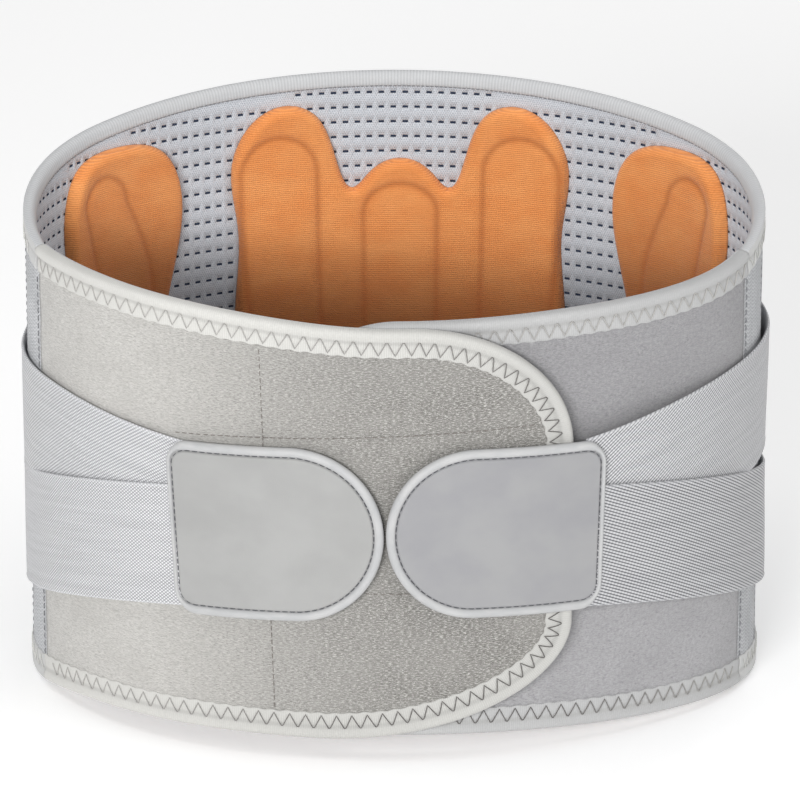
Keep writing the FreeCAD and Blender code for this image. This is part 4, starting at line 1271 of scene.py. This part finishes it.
def strap(side_name, layer):
    """A strap in three pieces, split where its body changes, and the stitched box at its rear."""
    path, prefix = STRAPS[side_name], "%s_%s_" % (side_name, layer)
    seam, tab_s = path.seam, float(path.s_at_x(tab_side_x(side_name), TAB_TRACK_OFFSET))
    before_tab = tab_s - END_LENGTH
    rear = strap_piece(prefix + "strap_rear_cloth", side_name, layer, 0.0, seam)
    front = strap_piece(prefix + "strap_front_cloth", side_name, layer, seam, before_tab)
    end = strap_piece(
        prefix + "strap_end_cloth", side_name, layer, before_tab, strap_end(side_name, layer, tab_s), step=0.9)

    def spot(s):
        return Vector(path.place(s, ANY_HEIGHT, UPPER_OFFSET) / 1000)

    spot(seam - 9)
    spot(seam - 0.5)
    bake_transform(rear)
    spot(seam + 0.5)
    spot(seam + 10)
    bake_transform(front)
    spot(tab_s - 3.2)
    spot(tab_s + 0.6)
    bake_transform(end)
    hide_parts(prefix + "rear_strap")
    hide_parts(prefix + "strap")
    for name, middle_s, (s_from, up_from), (s_to, up_to) in (
            ("bar_0", 3.0, (3.0, -22), (3.0, 22)), ("bar_1", 17.0, (17.0, -22), (17.0, 22)),
            ("cross_0", 10.0, (3.5, -22), (16.5, 22)), ("cross_1", 10.0, (3.5, 22), (16.5, -22))):
        z = float(strap_line(side_name, layer)(path.depth(middle_s)))
        line = even([(s_from, z + up_from), (s_to, z + up_to)], 2.0)
        seam_stitches(prefix + name, path, line, STRAP_FACE + 0.2, None, "dark_thread", "webbing",
                      pitch=2.8, length=2.0, radius=0.24)


for side_name in SIDES:
    for layer in ("upper", "lower"):
        strap(side_name, layer)


# ---- Pull tabs ----------------------------------------------------------------------------

PIPING_HALF_WIDTH, PIPING_HALF_HEIGHT, PIPING_MIDDLE = 1.85, 1.95, 7.05
SLIMMER_WIDTH, SLIMMER_HEIGHT, SLIMMER_DROP = 0.95, 0.45, 0.2
FACE_BACK, GROOVE_FLOOR, STITCH_LEVEL, STITCH_RADIUS = 6.9, 7.3, 7.6, 0.24
FACE_INSETS, STITCH_INSETS = (2.6, 0.9), (3.85, 2.15)
FACE_RINGS = (0.6, 1.1, 1.35, 1.6, 1.85, 2.3, 3.2, 4.6)


def tab_loop(side_name, inset, side_inset, spacing=1.2):
    """D-shaped outline of a tab as (along, up), drawn in by one inset, and by another at its straight side."""
    half = TAB_HEIGHT[side_name] / 2 - inset
    corner = TAB_CORNER - inset * 0.7
    turn, nose = np.radians(np.linspace(0, 90, 20)), np.radians(np.linspace(90, -90, 90))
    top_corner = beside(side_inset + corner - corner * np.cos(turn), half - corner + corner * np.sin(turn))
    nose_start = TAB_LENGTH[side_name] - TAB_HEIGHT[side_name] / 2
    round_nose = beside(nose_start + half * np.cos(nose), half * np.sin(nose))
    return even(np.vstack([top_corner, round_nose, (top_corner * (1, -1))[::-1], top_corner[:1]]), spacing)[:-1]


def tab_place(side_name, flat, offset):
    """Points of a tab from its own (along, up) and offset."""
    way, turn = WAY[side_name], math.radians(WAY[side_name] * TAB_TILT[side_name])
    x, z = -way * flat[..., 0], flat[..., 1]
    x_turned = x * math.cos(turn) + z * math.sin(turn) + tab_side_x(side_name)
    z_turned = -x * math.sin(turn) + z * math.cos(turn) + TAB_MIDDLE[side_name]
    path = STRAPS[side_name]
    return path.place(path.s_at_x(x_turned, 7.0), z_turned, offset)


def tab(side_name):
    body = side_name + "_tab"
    # Rolled piping, slimmer along the straight side.
    loop = tab_loop(side_name, PIPING_HALF_WIDTH, PIPING_HALF_WIDTH - 0.9)
    straight = smoothstep(7.0, 1.6, loop[:, 0])[:, None]
    turn = np.linspace(0, 2 * math.pi, 18, endpoint=False)
    reach = (PIPING_HALF_WIDTH - SLIMMER_WIDTH * straight) * np.cos(turn)
    flat = loop[:, None] + inward_normals(loop)[:, None] * reach[..., None]
    rise = (PIPING_HALF_HEIGHT - SLIMMER_HEIGHT * straight) * np.sin(turn)
    height = PIPING_MIDDLE - SLIMMER_DROP * straight + rise
    run = run_of(np.vstack([loop, loop[:1]]))[:-1]
    piping = make(body + "_piping_cloth", tab_place(side_name, flat, height),
                  tube_faces(len(loop), len(turn), closed=True), grid_of(run, turn * 1.9), ["piping"])
    settle(piping, "tab_piping", body, body + "_piping")

    # Smooth face: sunk under the piping, a narrow groove, then gently domed.
    spots, triangles = patch_mesh(tab_loop(side_name, *FACE_INSETS), FACE_RINGS, [], 3.0)
    depth = depth_inside(spots, triangles, tab_loop(side_name, *FACE_INSETS, 0.3))
    level = GROOVE_FLOOR + 0.95 * smoothstep(1.15, 1.9, depth) + 0.35 * smoothstep(2.0, 20.0, depth)
    top, bottom = (tab_place(side_name, spots, offset) for offset in (level, FACE_BACK))
    face = slab(body + "_face_cloth", spots, triangles, top, bottom, "skin_" + side_name)
    settle(face, "tab_skin", body, body + "_face")

    # Stitches sunk in the groove.
    line = tab_loop(side_name, *STITCH_INSETS, 0.5)
    lines, normals = [], []
    for spots in stitch_spots(np.vstack([line, line[:1]]), 0.3, 2.9, 2.1):
        low, high = (tab_place(side_name, spots, offset) for offset in (STITCH_LEVEL, 8.5))
        lines.append(low)
        normals.append(high - low)
    thread = thread_tubes(body + "_stitches", lines, normals, STITCH_RADIUS, "dark_thread", sides=5, ends_dip=0.3)
    settle(thread, "tab_piping", body)


for side_name in SIDES:
    tab(side_name)


# ---- Stay channels and strap anchors on the back ------------------------------------------

CHANNEL_HALF = [
    (-8.5, -0.1), (-8.5, 0.5), (-8.1, 0.75), (-6.6, 0.7), (-6.1, 1.2), (-5.4, 1.85), (-4.2, 2.15), (-2, 2.2)]
CHANNEL_SECTION = np.array(CHANNEL_HALF + [(0, 2.22)] + [(-w, h) for w, h in CHANNEL_HALF[::-1]])
CHANNEL_END = np.array([0, 1.2, 2.4, 4.5])


def rear_s(x):
    """Where the back of the wall passes a station across the belt."""
    s = np.linspace(0, BACK.length, 4000)
    plan = BACK.at(s)[0]
    behind = plan[:, 1] > 20
    order = np.argsort(plan[behind, 0])
    return float(np.interp(x, plan[behind, 0][order], s[behind][order]))


for number, middle_x in enumerate(STAY_PLACES, 1):
    node, middle = "stay_channel_%d" % number, rear_s(middle_x)
    low, high = (float(v[0]) for v in BACK_PANEL.limits(np.array([middle]), 16.0))
    z = np.concatenate([low + CHANNEL_END, np.linspace(low + 8, high - 8, 60), high - CHANNEL_END[::-1]])
    across, rise = CHANNEL_SECTION.T
    full = smoothstep(0.4, 5.0, np.minimum(z - low, high - z))[:, None]
    rise = np.where(rise > 0.8, 0.7 + (rise - 0.7) * full, rise)
    across, z_grid = np.broadcast_arrays(across, z[:, None])
    piece = make(node + "_cloth", BACK.place(middle + across, z_grid, WALL + rise), tube_faces(*rise.shape),
                 beside(across, z_grid), ["tape"])
    settle(piece, "channel_tape", None, node)
    for letter, side in (("a", -7.4), ("b", 7.4)):
        seam_stitches(node + "_seam_" + letter, BACK, [(middle + side, low + 1), (middle + side, high - 1)],
                      WALL + 0.8, None, "dark_thread", "channel_tape", pitch=3.0, radius=0.22)

for side_name in SIDES:
    node = side_name + "_strap_anchor"
    low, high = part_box(node)
    ends = sorted(rear_s(x * 1000) for x in (low.x, high.x))
    heights = np.full(10, low.z * 1000), np.full(10, high.z * 1000)
    piece = shell(node + "_cloth", BACK, np.linspace(ends[0] - 1.2, ends[1] + 1.2, 10), 50, heights,
                  WALL - 0.2, WALL + 0.8, "tape")
    settle(piece, "channel_tape", None, node)

KEPT = {"outer_flap_hook_patch": "hook"}
KEPT.update({"%s_tab_hook" % side_name: "hook" for side_name in SIDES})
KEPT.update({"%s_tab_board" % side_name: "foam" for side_name in SIDES})
KEPT.update({"%s_insert" % name: "insert" for name in PAD_PLACES})
KEPT.update({"stay_%d" % number: "steel" for number in range(1, 5)})
for name, material in KEPT.items():
    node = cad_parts[name]
    node.data.materials.clear()
    node.data.materials.append(CLOTHS[material].material)


# ---- Floor, light and camera --------------------------------------------------------------

FLOOR_HALF_WIDTH, FLOOR_FRONT, SWEEP_START, SWEEP_RADIUS, BACKDROP_TOP = 12.0, -12.0, 8.0, 2.0, 5.0
FLOOR_DROP = 0.0004


def floor_material():
    material = bpy.data.materials.new("studio_floor")
    material.use_nodes = True
    nodes, links = material.node_tree.nodes, material.node_tree.links
    shader = nodes["Principled BSDF"]
    noise, tint = nodes.new("ShaderNodeTexNoise"), nodes.new("ShaderNodeMix")
    tint.data_type = "RGBA"
    for node, socket, value in (
            (shader, "Roughness", 0.9), (shader, "Specular IOR Level", 0.1), (noise, "Scale", 3.0),
            (tint, 6, (0.93, 0.93, 0.93, 1)), (tint, 7, (0.95, 0.95, 0.95, 1)),
            (shader, "Emission Color", (1, 1, 1, 1)), (shader, "Emission Strength", 0.2)):
        node.inputs[socket].default_value = value
    links.new(noise.outputs["Fac"], tint.inputs[0])
    links.new(tint.outputs[2], shader.inputs["Base Color"])
    return material


def studio_floor():
    """Floor that sweeps up into a backdrop behind the belt."""
    profile = [(FLOOR_FRONT, 0.0), (SWEEP_START, 0.0)]
    profile += [(SWEEP_START + SWEEP_RADIUS * math.sin(t), SWEEP_RADIUS - SWEEP_RADIUS * math.cos(t))
                for t in np.linspace(0, math.pi / 2, 16)[1:]]
    profile += [(SWEEP_START + SWEEP_RADIUS, BACKDROP_TOP)]
    points = [(x, y, z - FLOOR_DROP) for y, z in profile for x in (-FLOOR_HALF_WIDTH, FLOOR_HALF_WIDTH)]
    faces = [(2 * i, 2 * i + 1, 2 * i + 3, 2 * i + 2) for i in range(len(profile) - 1)]
    mesh = bpy.data.meshes.new("studio_floor")
    mesh.from_pydata(points, [], faces)
    mesh.polygons.foreach_set("use_smooth", np.ones(len(faces), bool))
    mesh.materials.append(floor_material())
    floor = bpy.data.objects.new("studio_floor", mesh)
    bpy.context.scene.collection.objects.link(floor)


def softbox(name, place, size, power):
    """A rectangular light that points at the belt."""
    light = bpy.data.lights.new(name, "AREA")
    light.shape = "RECTANGLE"
    light.size, light.size_y = size
    light.energy = power
    lamp = bpy.data.objects.new(name, light)
    lamp.location = place
    lamp.rotation_euler = (Vector((0.0, 0.0, 0.1)) - Vector(place)).to_track_quat("-Z", "Y").to_euler()
    bpy.context.scene.collection.objects.link(lamp)


studio_floor()
softbox("key_light", (-0.8, -2.7, 0.95), (1.2, 0.55), 60)
softbox("fill_light", (2.1, -1.1, 0.8), (1.4, 0.8), 15)
softbox("top_light", (-0.2, -0.4, 2.6), (2.6, 2.2), 24)
softbox("back_light", (0.9, 3.0, 1.1), (1.6, 0.9), 24)
world = bpy.data.worlds.new("studio_air")
bpy.context.scene.world = world
world.use_nodes = True
air = world.node_tree.nodes["Background"].inputs
air["Color"].default_value = (1, 1, 1, 1)
air["Strength"].default_value = 0.26
bpy.context.scene.view_settings.view_transform = "Standard"

CAMERA_RISE, CAMERA_AWAY, AIM = math.radians(20.0), 2.52, Vector((0.0023, 0.00821, 0.1077))
camera_data = bpy.data.cameras.new("camera")
camera_data.lens, camera_data.sensor_width = 283.5, 36.0
camera_data.clip_end = 50.0
camera = bpy.data.objects.new("camera", camera_data)
camera.location = AIM + CAMERA_AWAY * Vector((0, -math.cos(CAMERA_RISE), math.sin(CAMERA_RISE)))
camera.rotation_euler = (math.pi / 2 - CAMERA_RISE, 0, 0)
bpy.context.scene.collection.objects.link(camera)
bpy.context.scene.camera = camera
